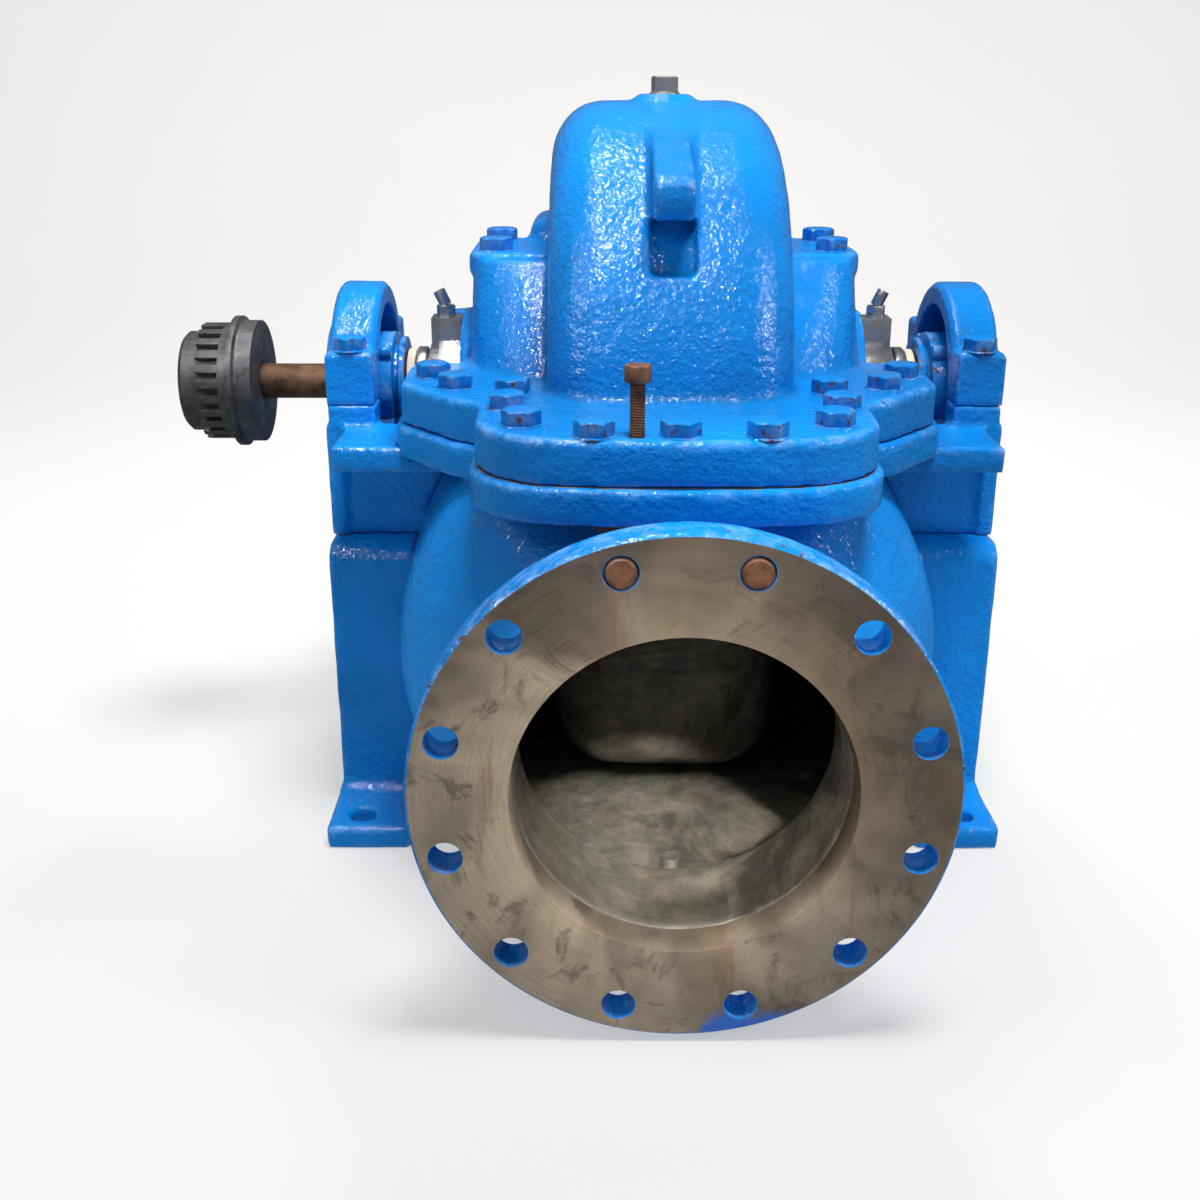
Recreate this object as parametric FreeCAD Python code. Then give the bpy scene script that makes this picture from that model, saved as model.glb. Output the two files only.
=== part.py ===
import FreeCAD, Part
import math
import os

# Horizontal split case pump with double suction: all sizes in millimetres.
# X runs along the shaft with the coupling at -X, -Y is the suction side and Z points up.
# The origin lies on the base plane, in the middle of the four foot bolts, under the shaft.
Vector = FreeCAD.Vector
os.makedirs("parts", exist_ok=True)

# Heights and the joint between the two casing halves
shaft_height = 410.0
nozzle_height = 209.0
gasket_thickness = 0.8
upper_flange_thickness = 36.0
lower_flange_thickness = 31.0
lower_flange_lip = 5.0
wall = 16.0

# Outline of the split flange
lobe_half_width = 162.0
lobe_front = 412.0
lobe_rear = 334.0
lobe_bow = 22.0
lobe_bow_radius = 600.0
lobe_front_corner = 78.0
lobe_rear_corner = 60.0
flare_reach = 26.0
flare_step = 24.0
waist_step = 66.0
shoulder_half_width = 241.0
shoulder_reach = 188.0
shoulder_corner = 34.0
flare_corner = 20.0
gland_bay_half_width = 88.0
gland_bay_depth = 46.0
gland_bay_corner = 8.0
gland_bay_mouth = 16.0

# Hood over the volute
hood_radius = 271.0
hood_half_width = 107.0
hood_edge_radius = 50.0
hood_boss_radius = 27.0
hood_boss_height = 6.0

# Suction domes with their bolt pads
dome_half_width = 187.0
dome_base_half_depth = 200.0
dome_base_corner = 112.0
pad_height = 136.0
pad_half_depth = 72.0
pad_corner = 26.0
pad_thickness = 20.0
pad_lip = 5.0
dome_top_corner = 46.0
pad_bolt_x = 161.0
pad_bolt_y = 45.0
hump_half_width = 148.0
hump_taper = 16.0
hump_base_from = 20.0
hump_base_to = 204.0
hump_top_from = 52.0
hump_top_to = 160.0
hump_height = 158.0
hump_edge_radius = 18.0

# Lifting hook on the front of the hood
hook_width = 34.0
hook_reach = 44.0
hook_bottom = 0.664 * hood_radius
hook_top = 0.93 * hood_radius
hook_face_height = 34.0
hook_nose_radius = 14.0
throat_width = 40.0
throat_depth = 12.0
throat_height = 46.0

# Suction flange, 10 inch class 125
suction_face = 525.0
suction_flange_radius = 203.2
suction_flange_thickness = 30.2
suction_bolt_circle = 361.95
suction_hole_radius = 12.7
suction_hole_count = 12
suction_bore_radius = 127.0
suction_neck_radius = 150.0

# Discharge flange, 8 inch class 125
discharge_face = 430.0
discharge_flange_radius = 171.5
discharge_flange_thickness = 28.6
discharge_bolt_circle = 298.5
discharge_hole_radius = 11.1
discharge_hole_count = 8
discharge_bore_radius = 101.6
discharge_neck_radius = 122.0
discharge_bore_length = 100.0
discharge_throat_radius = 84.0
discharge_throat_y = 120.0

# Outside of the casing under the split flange
body_half_width = 248.0
body_waist_half_width = 226.0
body_bottom = 38.0
body_front = 460.0
body_rear = 262.0
body_wide_to = -190.0
body_low_from = -300.0
body_low_to = 70.0
body_flare_from = -385.0
body_flare_to = -262.0
body_shoulder_bottom = 300.0
body_waist_from = -90.0
body_wide_corner = 60.0
body_waist_corner = 80.0
flank_bottom = 150.0
flank_corner = 100.0
keel_step = 60.0
keel_corner = 90.0
front_low_corner = 140.0
rear_low_corner = 160.0
tail_drop = 110.0
neck_corner = 30.0
belly_radius = 250.0
belly_step = 8.0
belly_from = -120.0
belly_to = 60.0
belly_front_root = 90.0
belly_rear_root = 200.0
neck_root = 60.0
outlet_root_lead = 26.0

# Inside of the casing
impeller_eye_clearance = 5.0
volute_front = 262.0
volute_floor_height = 84.0
stuffing_box_radius = 74.0
stuffing_box_face = 198.0
gland_well_floor = 322.0
suction_chamber_rear = 96.0
chamber_flare_lead = 20.0
chamber_flare_step = 6.0
suction_bore_end = body_flare_from - chamber_flare_lead
chamber_rear_taper = 22.0
eye_room_half_depth = 88.0
volute_side_step = 3.0
volute_rim_step = 6.0
volute_lip_height = 30.0
volute_corner = 60.0
volute_cavity_bevel = 26.0

# Bearing brackets
bracket_outer = 320.0
bracket_inner = 150.0
bracket_end_wall = 12.0
end_wall_reach = 3.0
bracket_web_outer = 110.0
bracket_web_thickness = 14.0
saddle_inner = 275.0
saddle_half_depth = 115.0
saddle_step = 21.0
ledge_thickness = 23.0
ledge_reach = 197.0
ledge_outer = 304.0
bracket_floor_thickness = 18.0

# Foot pedestals
pedestal_top = 281.0
pedestal_outer = 322.0
pedestal_inner = 240.0
pedestal_half_depth = 150.0
pedestal_wall = 15.0
pedestal_top_radius = 20.0
foot_thickness = 23.0
foot_half_depth = 234.0
foot_outer = 325.0
foot_inner = 244.0
foot_corner = 6.0
foot_root_radius = 14.0
foot_hole_x = 293.0
foot_hole_y = 205.0
foot_hole_radius = 12.5

# Bearing caps and bearing cartridges
cap_radius = 100.0
cap_recess_radius = 78.0
cap_recess_depth = 27.0
cap_edge_bevel = 5.0
ear_height = 50.0
ear_corner = 6.0
cap_bolt_y = 100.0
cap_spot_radius = 18.0
cartridge_radius = 56.0
cartridge_cover_radius = 50.0
cartridge_inner = 264.0
cartridge_ring_radius = 45.0
cartridge_ring_inner = 257.0
cartridge_ring_thickness = 5.0
cartridge_neck_radius = 37.0
cartridge_neck_length = 4.0
cartridge_outer = 326.0
cover_lug_step = 8.0
cover_lug_count = 4
cover_lug_radius = 8.0
outer_cover_radius = 64.0
outer_cover_thickness = 10.0

# Shaft and what turns with it
shaft_radius = 17.5
shaft_middle_radius = 25.0
bearing_seat_radius = 20.0
bearing_seat_offset = 10.0
seat_clearance_length = 2.0
shaft_running_clearance = 4.0
fit_clearance = 0.05
sleeve_radius = 29.0
sleeve_end = 236.0
collar_radius = 35.0
collar_thickness = 9.0
deflector_radius = 33.0
deflector_from = 247.0
deflector_thickness = 8.0
impeller_radius = 165.0
impeller_half_width = 30.0
impeller_eye_radius = 68.0
impeller_hub_half_length = 96.0
impeller_shroud = 6.0
impeller_hub_radius = 34.0
impeller_hub_root_radius = 44.0
impeller_hub_root_x = 20.0
impeller_shroud_flare = 14.0
impeller_vane_inner = 42.0
impeller_vane_step = 3.0
impeller_vane_lean = 24.0
impeller_vane_count = 7
impeller_vane_thickness = 6.0

# Coupling hub
hub_inner = 405.0
hub_rim_start = hub_inner + 24.0
hub_tooth_start = hub_inner + 33.0
hub_tooth_end = hub_inner + 56.0
hub_nose_end = hub_inner + 75.0
shaft_free_end = hub_nose_end
hub_nose_radius = 50.0
hub_tooth_radius = 58.5
hub_rim_radius = 61.0
hub_bead_radius = 65.5
hub_bead_width = 8.0
hub_slot_count = 24
hub_slot_width = 7.6
hub_nose_bevel = 4.0
hub_bead_bevel = 2.0
key_width = 9.5
key_height = 7.0
key_length = 60.0

# Seal glands and their fittings
gland_radius = 46.0
gland_plate_thickness = 24.0
gland_ear_radius = 13.0
gland_bolt_y = 62.0
gland_bore_clearance = 3.0
gland_ear_thickness = 14.0
gland_nose_step = 8.0
gland_nose_length = 10.0
gland_stud_radius = 6.0
gland_stud_hole_radius = 6.5
gland_stud_length = 28.0
gland_nut_flats = 19.0
gland_nut_height = 9.0
flush_block_bottom = 30.0
flush_block_top = 66.0
flush_block_half_width = 15.0
flush_block_margin = 2.0
flush_fitting_offset = 18.0
flush_nut_flats = 17.0
flush_nut_height = 11.0
flush_tail_radius = 6.0
flush_tail_length = 16.0
flush_tail_lean = 25.0

# Hexagon bolts, 3/4 inch
bolt_flats = 28.6
bolt_head = 12.7
bolt_shank_radius = 9.5
bolt_hole_clearance = 0.8
bolt_engagement = 30.0
head_chamfer = 1.8

# Jack bolt, 1/2 inch
jack_x = -33.0
jack_flats = 19.0
jack_head = 13.0
jack_shank_radius = 6.3
jack_lift = 41.0
jack_tip_clearance = 4.0
jack_turn = 12.0

# Plugs
plug_flats = 22.0
plug_head = 16.0
plug_thread_radius = 12.0
plug_depth = 14.0
plug_turn = 8.0
drain_plug_y = -388.0
drain_plug_flats = 17.0
drain_plug_head = 8.0
drain_plug_drop = 12.0
drain_plug_rise = 2.0
drain_thread_radius = 8.0

split_plane = shaft_height
upper_flange_top = split_plane + upper_flange_thickness
lower_flange_bottom = split_plane - lower_flange_thickness
axis_point = Vector(0.0, 0.0, shaft_height)

# Bolts of the split flange, as distances from the two planes of symmetry
front_bolts = [(0.0, 384.0), (66.0, 385.0), (123.0, 348.0), (138.0, 287.0),
               (137.0, 226.0), (188.0, 205.0), (213.0, 155.0)]
rear_bolts = [(0.0, 307.0), (64.0, 307.0), (124.0, 280.0), (137.0, 226.0),
              (188.0, 205.0), (213.0, 155.0)]


def box(x0, x1, y0, y1, z0, z1):
    return Part.makeBox(x1 - x0, y1 - y0, z1 - z0, Vector(x0, y0, z0))


def rod_x(radius, x0, x1, y=0.0, z=shaft_height):
    return Part.makeCylinder(radius, x1 - x0, Vector(x0, y, z), Vector(1, 0, 0))


def rod_y(radius, y0, y1, x=0.0, z=nozzle_height):
    return Part.makeCylinder(radius, y1 - y0, Vector(x, y0, z), Vector(0, 1, 0))


def rod_z(radius, z0, z1, x=0.0, y=0.0):
    return Part.makeCylinder(radius, z1 - z0, Vector(x, y, z0))


def joined(shapes):
    result = shapes[0]
    if len(shapes) > 1:
        result = result.fuse(shapes[1:])
    return result.removeSplitter()


def without(shape, cutters):
    for cutter in cutters:
        shape = shape.cut(cutter)
    return shape


def mirrored_x(shape):
    return shape.mirror(Vector(0, 0, 0), Vector(1, 0, 0))


def on_both_sides(points):
    spread = []
    for x, y in points:
        spread.append((x, y))
        if x:
            spread.append((-x, y))
    return spread


def prism(points, z0, z1):
    corners = [Vector(x, y, z0) for x, y in points]
    face = Part.Face(Part.makePolygon(corners + corners[:1]))
    return face.extrude(Vector(0, 0, z1 - z0))


def rounded_polygon(corners, z):
    # Corners are (x, y, radius); a radius of nought keeps the corner sharp.
    count = len(corners)
    ends = []
    edges = []
    for index, (x, y, radius) in enumerate(corners):
        here = Vector(x, y, z)
        before = Vector(corners[index - 1][0], corners[index - 1][1], z) - here
        after = Vector(corners[(index + 1) % count][0], corners[(index + 1) % count][1], z) - here
        before.normalize()
        after.normalize()
        if radius:
            half_turn = before.getAngle(after) / 2.0
            setback = radius / math.tan(half_turn)
            start = here + before * setback
            finish = here + after * setback
            bisector = before + after
            bisector.normalize()
            middle = here + bisector * (radius / math.sin(half_turn) - radius)
            ends.append((start, middle, finish))
        else:
            ends.append((here, None, here))
    for index, (start, middle, finish) in enumerate(ends):
        if middle is not None:
            edges.append(Part.Arc(start, middle, finish).toShape())
        following = ends[(index + 1) % count][0]
        if finish.distanceToPoint(following) > 0.001:
            edges.append(Part.makeLine(finish, following))
    return Part.Wire(edges)


def plate(corners, z0, z1):
    return Part.Face(rounded_polygon(corners, z0)).extrude(Vector(0, 0, z1 - z0))


def edges_where(shape, test):
    return [edge for edge in shape.Edges if test(edge)]


def edge_middle(edge):
    return edge.valueAt((edge.FirstParameter + edge.LastParameter) / 2.0)


def hexagon(flats, z0, z1, x, y, turn=0.0):
    corner = flats / math.sqrt(3.0)
    points = []
    for step in range(6):
        angle = math.radians(60.0 * step + turn)
        points.append((x + corner * math.cos(angle), y + corner * math.sin(angle)))
    return prism(points, z0, z1)


def hex_bolt(x, y, seat, turn, flats=bolt_flats, head=bolt_head,
             shank_radius=bolt_shank_radius, length=bolt_engagement):
    corner = flats / math.sqrt(3.0)
    shoulder = seat + head - head_chamfer
    crown = Part.makeCone(corner, corner - 2.0 * head_chamfer, head_chamfer, Vector(x, y, shoulder))
    turned = rod_z(corner, seat, shoulder, x, y).fuse(crown)
    blank = hexagon(flats, seat, seat + head, x, y, turn).common(turned)
    return blank.fuse(rod_z(shank_radius, seat - length, seat, x, y)).removeSplitter()


def bolt_turn(x, y):
    # Spanner flats lie at a different angle on every bolt.
    return math.fmod(abs(x * 7.3 + y * 3.1), 60.0)


def save(name, shape):
    shape.exportStep(os.path.join("parts", name + ".step"))
    print(name, shape.isValid(), len(shape.Solids), round(shape.Volume / 1000.0, 1))


# Split flange: a lobe over each nozzle, shoulders beside them and a bay round each gland
def flange_outline(lip):
    half_lobe = lobe_half_width + lip
    front = lobe_front + lip
    rear = lobe_rear + lip
    shoulder = shoulder_half_width + lip
    reach = shoulder_reach + lip
    bay = gland_bay_half_width - lip
    bay_x = shoulder_half_width - gland_bay_depth
    flare = half_lobe + flare_reach
    quarter = [(bay_x, bay, gland_bay_corner), (shoulder, bay, gland_bay_mouth),
               (shoulder, reach, shoulder_corner), (flare, reach + flare_step, flare_corner),
               (half_lobe, reach + waist_step, flare_corner)]
    rear_half = quarter + [(half_lobe, rear - lobe_bow, lobe_rear_corner)]
    front_half = quarter + [(half_lobe, front - lobe_bow, lobe_front_corner)]
    corners = rear_half + [(0.0, rear, lobe_bow_radius)]
    corners += [(-x, y, radius) for x, y, radius in rear_half][::-1]
    corners += [(-x, -y, radius) for x, y, radius in front_half]
    corners += [(0.0, -front, lobe_bow_radius)]
    corners += [(x, -y, radius) for x, y, radius in front_half][::-1]
    return corners


def flange_bolt_places():
    front = [(x, -y) for x, y in on_both_sides(front_bolts)]
    return front, on_both_sides(rear_bolts)


# Casing body: a form turned about the nozzle axis, trimmed to its outlines from above, front and side
neck_bottom = nozzle_height - suction_neck_radius


def turned_about_nozzles(outline):
    # Outline corners are (radius, y, rounding).
    return_on_axis = [(0.0, outline[-1][1], 0.0), (0.0, outline[0][1], 0.0)]
    face = Part.Face(rounded_polygon(outline + return_on_axis, 0.0))
    form = face.revolve(Vector(0, 0, 0), Vector(0, 1, 0), 360.0)
    form.translate(Vector(0, 0, nozzle_height))
    return form


def outline_from_above(inset):
    wide = body_half_width - inset
    waist = body_waist_half_width - inset
    right = [(wide, -body_front + inset, 0.0), (wide, body_wide_to, body_wide_corner),
             (waist, body_waist_from, body_waist_corner), (waist, body_rear - inset, body_wide_corner)]
    return right + [(-x, y, radius) for x, y, radius in right[::-1]]


def outline_from_front(inset):
    low = body_bottom + inset
    right = [(body_half_width, split_plane, 0.0), (body_half_width, flank_bottom + inset, flank_corner),
             (body_half_width - keel_step, low, keel_corner)]
    return right + [(-x, z, radius) for x, z, radius in right[::-1]]


def outline_from_side(inset):
    low = body_bottom + inset
    return [(-body_front + inset, split_plane, 0.0), (-body_front + inset, neck_bottom + inset, neck_corner),
            (body_low_from, low, front_low_corner), (body_low_to, low, rear_low_corner),
            (body_rear - inset, nozzle_height - tail_drop, body_wide_corner),
            (body_rear - inset, split_plane, 0.0)]


def body_trim(inset):
    reach = 2.0 * suction_face
    above = Part.Face(rounded_polygon(outline_from_above(inset), 0.0)).extrude(Vector(0, 0, split_plane))
    front = Part.Face(rounded_polygon(outline_from_front(inset), 0.0)).extrude(Vector(0, 0, reach))
    front.rotate(Vector(0, 0, 0), Vector(1, 0, 0), 90.0)
    front.translate(Vector(0, suction_face, 0))
    side = Part.Face(rounded_polygon(outline_from_side(inset), 0.0)).extrude(Vector(0, 0, reach))
    side.rotate(Vector(0, 0, 0), Vector(1, 1, 1), 120.0)
    side.translate(Vector(-suction_face, 0, 0))
    return without(above.common(front).common(side), gland_wells(inset))


# Recess in each side of the casing, open at the top, that gives room for the gland
def gland_wells(inset):
    half_depth = gland_bay_half_width + inset
    well = box(stuffing_box_face - inset, body_half_width + wall, -half_depth, half_depth,
               gland_well_floor - inset, split_plane + 1.0)
    return [well, mirrored_x(well)]


def dome_outline(half_width, half_depth, corner, z):
    return rounded_polygon([(half_width, -half_depth, corner), (half_width, half_depth, corner),
                            (-half_width, half_depth, corner), (-half_width, -half_depth, corner)], z)


def casing_body():
    belly = turned_about_nozzles([(suction_neck_radius, -body_front, 0.0),
                                  (suction_neck_radius, body_flare_from, neck_root),
                                  (belly_radius - belly_step, body_flare_to, belly_front_root),
                                  (belly_radius, belly_from, 0.0), (belly_radius, belly_to, belly_rear_root),
                                  (discharge_neck_radius, body_rear + outlet_root_lead, neck_root),
                                  (discharge_neck_radius, body_rear + neck_root, 0.0)])
    shoulder = Part.Face(dome_outline(dome_half_width, dome_base_half_depth, dome_base_corner,
                                      body_shoulder_bottom))
    belly = belly.fuse(shoulder.extrude(Vector(0, 0, split_plane - body_shoulder_bottom)))
    inlet = rod_y(suction_neck_radius, -suction_face + suction_flange_thickness, body_flare_from)
    outlet = rod_y(discharge_neck_radius, 0.0, discharge_face - discharge_flange_thickness)
    return belly.common(body_trim(0.0)).fuse([inlet, outlet]).removeSplitter()


# Suction passage: the bore opens into a chamber that runs round both sides of the volute to the impeller eyes.
def suction_cavity():
    chamber = turned_about_nozzles([(suction_bore_radius, -body_front, 0.0),
                                    (suction_bore_radius, suction_bore_end, 0.0),
                                    (belly_radius - wall - chamber_flare_step, body_flare_to, 0.0),
                                    (belly_radius - wall, belly_from, 0.0),
                                    (belly_radius - wall, 0.0, 0.0),
                                    (belly_radius - wall - chamber_rear_taper, suction_chamber_rear, 0.0)])
    low = box(-body_half_width, body_half_width, -suction_face, suction_chamber_rear, 0.0, split_plane - wall)
    eye_room = box(wall - dome_half_width, dome_half_width - wall, -eye_room_half_depth, eye_room_half_depth,
                   body_shoulder_bottom, split_plane)
    chamber = chamber.common(low).fuse(eye_room).common(body_trim(wall))
    bore = rod_y(suction_bore_radius, -suction_face - 1.0, suction_bore_end)
    return chamber.fuse(bore).removeSplitter()


def volute_shell():
    # Outer form of the volute below the split, with the rounded wall that faces the suction nozzle
    half_width = hood_half_width - volute_side_step
    ring = rod_x(hood_radius - volute_rim_step, -half_width, half_width)
    nose = box(-half_width, half_width, -volute_front, suction_chamber_rear + wall, volute_floor_height,
               split_plane + volute_corner + 1.0)
    nose_edges = edges_where(nose, lambda edge: edge_middle(edge).y < suction_chamber_rear
                             and edge_middle(edge).z < split_plane)
    nose = nose.makeFillet(volute_corner, nose_edges)
    nose = nose.common(lower_half_space())
    return ring.fuse(nose).removeSplitter()


def volute_cavity():
    half_width = hood_half_width - volute_side_step - wall
    ring = rod_x(hood_radius - wall, -half_width, half_width)
    rims = edges_where(ring, lambda edge: edge.Length > hood_radius)
    ring = ring.makeChamfer(volute_cavity_bevel, rims)
    bore_start = discharge_face - discharge_bore_length
    outlet = rod_y(discharge_bore_radius, bore_start, discharge_face + 1.0)
    throat = Part.makeCone(discharge_throat_radius, discharge_bore_radius, bore_start - discharge_throat_y,
                           Vector(0.0, discharge_throat_y, nozzle_height), Vector(0, 1, 0))
    lip = box(-half_width, half_width, -volute_front, suction_chamber_rear, 0.0,
              volute_floor_height + volute_lip_height)
    return ring.fuse([outlet, throat]).cut(lip)


def shaft_passage():
    eye = impeller_eye_radius + impeller_eye_clearance
    between_eyes = rod_x(eye, -pad_bolt_x, pad_bolt_x)
    box_bore = rod_x(sleeve_radius + shaft_running_clearance, -saddle_inner, saddle_inner)
    return between_eyes.fuse(box_bore)


def stuffing_boxes():
    return rod_x(stuffing_box_radius, -stuffing_box_face, stuffing_box_face)


def lower_half_space():
    return box(-suction_face, suction_face, -suction_face, suction_face, -suction_face,
               split_plane - gasket_thickness)


def upper_half_space():
    return box(-suction_face, suction_face, -suction_face, suction_face, split_plane,
               split_plane + suction_face)


def casing_cavities():
    chamber = suction_cavity().cut(volute_shell())
    return [chamber, volute_cavity(), shaft_passage()]


def lower_casing_outside():
    rim = plate(flange_outline(lower_flange_lip), lower_flange_bottom, split_plane - gasket_thickness)
    return casing_body().fuse([rim, stuffing_boxes(), hood()]).common(lower_half_space()).removeSplitter()


def lower_casing(outside):
    front, rear = flange_bolt_places()
    shell = without(outside, casing_cavities())
    for x, y in front + rear:
        shell = shell.cut(rod_z(bolt_shank_radius + bolt_hole_clearance, lower_flange_bottom, split_plane, x, y))
    shell = shell.cut(drain_hole())
    return shell.removeSplitter()


def nozzle_flange(radius, face, thickness, bore, circle, hole, count, inward):
    # The face looks away from the pump; inward is the direction from the face to the neck.
    y0 = face if inward > 0 else face - thickness
    disc = rod_y(radius, y0, y0 + thickness)
    cutters = [rod_y(bore, y0 - 1.0, y0 + thickness + 1.0)]
    for step in range(count):
        angle = 2.0 * math.pi * (step + 0.5) / count
        x = circle / 2.0 * math.sin(angle)
        z = nozzle_height + circle / 2.0 * math.cos(angle)
        cutters.append(rod_y(hole, y0 - 1.0, y0 + thickness + 1.0, x, z))
    return without(disc, cutters)


def suction_flange():
    return nozzle_flange(suction_flange_radius, -suction_face, suction_flange_thickness, suction_bore_radius,
                         suction_bolt_circle, suction_hole_radius, suction_hole_count, 1)


def discharge_flange():
    return nozzle_flange(discharge_flange_radius, discharge_face, discharge_flange_thickness,
                         discharge_bore_radius, discharge_bolt_circle, discharge_hole_radius,
                         discharge_hole_count, -1)


# Upper casing: hood, domes, lifting hook and the thick split flange
def hood():
    drum = rod_x(hood_radius, -hood_half_width, hood_half_width)
    rims = edges_where(drum, lambda edge: edge.Length > hood_radius * 6.0)
    return drum.makeFillet(hood_edge_radius, rims)


def dome():
    base = dome_outline(dome_half_width, dome_base_half_depth, dome_base_corner, split_plane)
    top = dome_outline(dome_half_width - pad_lip, pad_half_depth + pad_thickness, dome_top_corner,
                       split_plane + pad_height - pad_lip)
    pad = Part.Face(dome_outline(dome_half_width, pad_half_depth, pad_corner,
                                 split_plane + pad_height - pad_thickness))
    return Part.makeLoft([base, top], True, True).fuse(pad.extrude(Vector(0, 0, pad_thickness)))


def rear_hump():
    # Tapered back of the domes, where the halves carry the metal over to the discharge side
    base = hump_outline(hump_half_width, hump_base_from, hump_base_to, split_plane)
    top = hump_outline(hump_half_width - hump_taper, hump_top_from, hump_top_to, split_plane + hump_height)
    hump = Part.makeLoft([base, top], True, True)
    rim = edges_where(hump, lambda edge: edge.BoundBox.ZMin > split_plane + hump_height - 1.0)
    return hump.makeFillet(hump_edge_radius, rim)


def hump_outline(half_width, y0, y1, z):
    return rounded_polygon([(half_width, y0, pad_corner), (half_width, y1, pad_corner),
                            (-half_width, y1, pad_corner), (-half_width, y0, pad_corner)], z)


def hood_y(height):
    # Front of the hood at a height above the shaft
    return -math.sqrt(hood_radius ** 2 - height ** 2)


def lifting_hook():
    nose_y = hood_y(hook_bottom) - hook_reach
    z0 = split_plane + hook_bottom
    z1 = split_plane + hook_top
    corners = [Vector(-hook_width / 2.0, nose_y, z0), Vector(-hook_width / 2.0, nose_y, z0 + hook_face_height),
               Vector(-hook_width / 2.0, hood_y(hook_top), z1),
               Vector(-hook_width / 2.0, hood_y(hook_top) + wall, z1),
               Vector(-hook_width / 2.0, hood_y(hook_bottom) + wall / 2.0, z0)]
    face = Part.Face(Part.makePolygon(corners + corners[:1]))
    hook = face.extrude(Vector(hook_width, 0, 0))
    nose = edges_where(hook, lambda edge: edge.BoundBox.XLength > hook_width / 2.0
                       and edge_middle(edge).y < nose_y + 1.0)
    return hook.makeFillet(hook_nose_radius, nose)


# Room for the sling under the hook, sunk into the hood, and the metal that backs it
def throat_shell(depth, margin):
    z1 = split_plane + hook_bottom + margin
    slab = box(-throat_width / 2.0 - margin, throat_width / 2.0 + margin, -suction_face, 0.0,
               z1 - throat_height - 2.0 * margin, z1)
    return slab.cut(rod_x(hood_radius - depth, -throat_width, throat_width))


def upper_casing():
    front, rear = flange_bolt_places()
    rim = plate(flange_outline(0.0), split_plane, upper_flange_top)
    solid = rim.fuse([dome(), rear_hump(), stuffing_boxes(), hood()])
    solid = solid.cut(throat_shell(throat_depth, 0.0)).fuse(lifting_hook())
    boss = rod_z(hood_boss_radius, split_plane + hood_radius - 8.0,
                 split_plane + hood_radius + hood_boss_height)
    solid = solid.fuse(boss).common(upper_half_space())
    chamber = box(-dome_half_width + wall, dome_half_width - wall, -pad_half_depth, pad_half_depth,
                  split_plane - 1.0, split_plane + pad_height - wall)
    chamber = chamber.cut(volute_shell())
    hollow = volute_cavity().cut(throat_shell(throat_depth + wall, wall))
    solid = without(solid, [chamber, hollow, shaft_passage()])
    for x, y in front + rear:
        solid = solid.cut(rod_z(bolt_shank_radius + bolt_hole_clearance, split_plane - 1.0,
                                upper_flange_top + 1.0, x, y))
    for x in (-pad_bolt_x, pad_bolt_x):
        for y in (-pad_bolt_y, pad_bolt_y):
            solid = solid.cut(rod_z(bolt_shank_radius + bolt_hole_clearance,
                                    split_plane + pad_height - bolt_engagement,
                                    split_plane + pad_height + 1.0, x, y))
    top = split_plane + hood_radius + hood_boss_height
    solid = solid.cut(rod_z(plug_thread_radius + fit_clearance, top - plug_depth, top + 1.0))
    solid = solid.cut(jack_hole())
    return solid.removeSplitter()


def casing_gasket():
    front, rear = flange_bolt_places()
    sheet = plate(flange_outline(-1.0), split_plane - gasket_thickness, split_plane)
    sheet = without(sheet, casing_cavities())
    for x, y in front + rear:
        sheet = sheet.cut(rod_z(bolt_shank_radius + bolt_hole_clearance, split_plane - 2.0,
                                split_plane + 1.0, x, y))
    return sheet


def bolts_at(places, seat, length):
    return Part.makeCompound([hex_bolt(x, y, seat, bolt_turn(x, y), length=length) for x, y in places])


def pad_bolts():
    places = [(x, y) for x in (-pad_bolt_x, pad_bolt_x) for y in (-pad_bolt_y, pad_bolt_y)]
    return bolts_at(places, split_plane + pad_height, bolt_engagement - 2.0)


# Jack bolt that pushes the casing halves apart
def jack_y():
    return -front_bolts[0][1]


def jack_hole():
    return rod_z(jack_shank_radius + fit_clearance, split_plane - 1.0, upper_flange_top + 1.0, jack_x, jack_y())


def jack_bolt():
    return hex_bolt(jack_x, jack_y(), upper_flange_top + jack_lift, jack_turn, flats=jack_flats, head=jack_head,
                    shank_radius=jack_shank_radius, length=jack_lift + upper_flange_thickness - jack_tip_clearance)


def vent_plug():
    top = split_plane + hood_radius + hood_boss_height
    half = plug_flats / 2.0
    head = box(-half, half, -half, half, top, top + plug_head)
    head.rotate(Vector(0, 0, 0), Vector(0, 0, 1), plug_turn)
    return head.fuse(rod_z(plug_thread_radius, top - plug_depth + 1.0, top)).removeSplitter()


def drain_floor():
    return nozzle_height - suction_bore_radius


def drain_hole():
    return rod_z(drain_thread_radius + fit_clearance, 0.0, nozzle_height, 0.0, drain_plug_y)


def drain_plug():
    bottom = neck_bottom - drain_plug_drop
    half = drain_plug_flats / 2.0
    head = box(-half, half, drain_plug_y - half, drain_plug_y + half, bottom - drain_plug_head, bottom)
    return head.fuse(rod_z(drain_thread_radius, bottom, drain_floor() + drain_plug_rise, 0.0, drain_plug_y))


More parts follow.
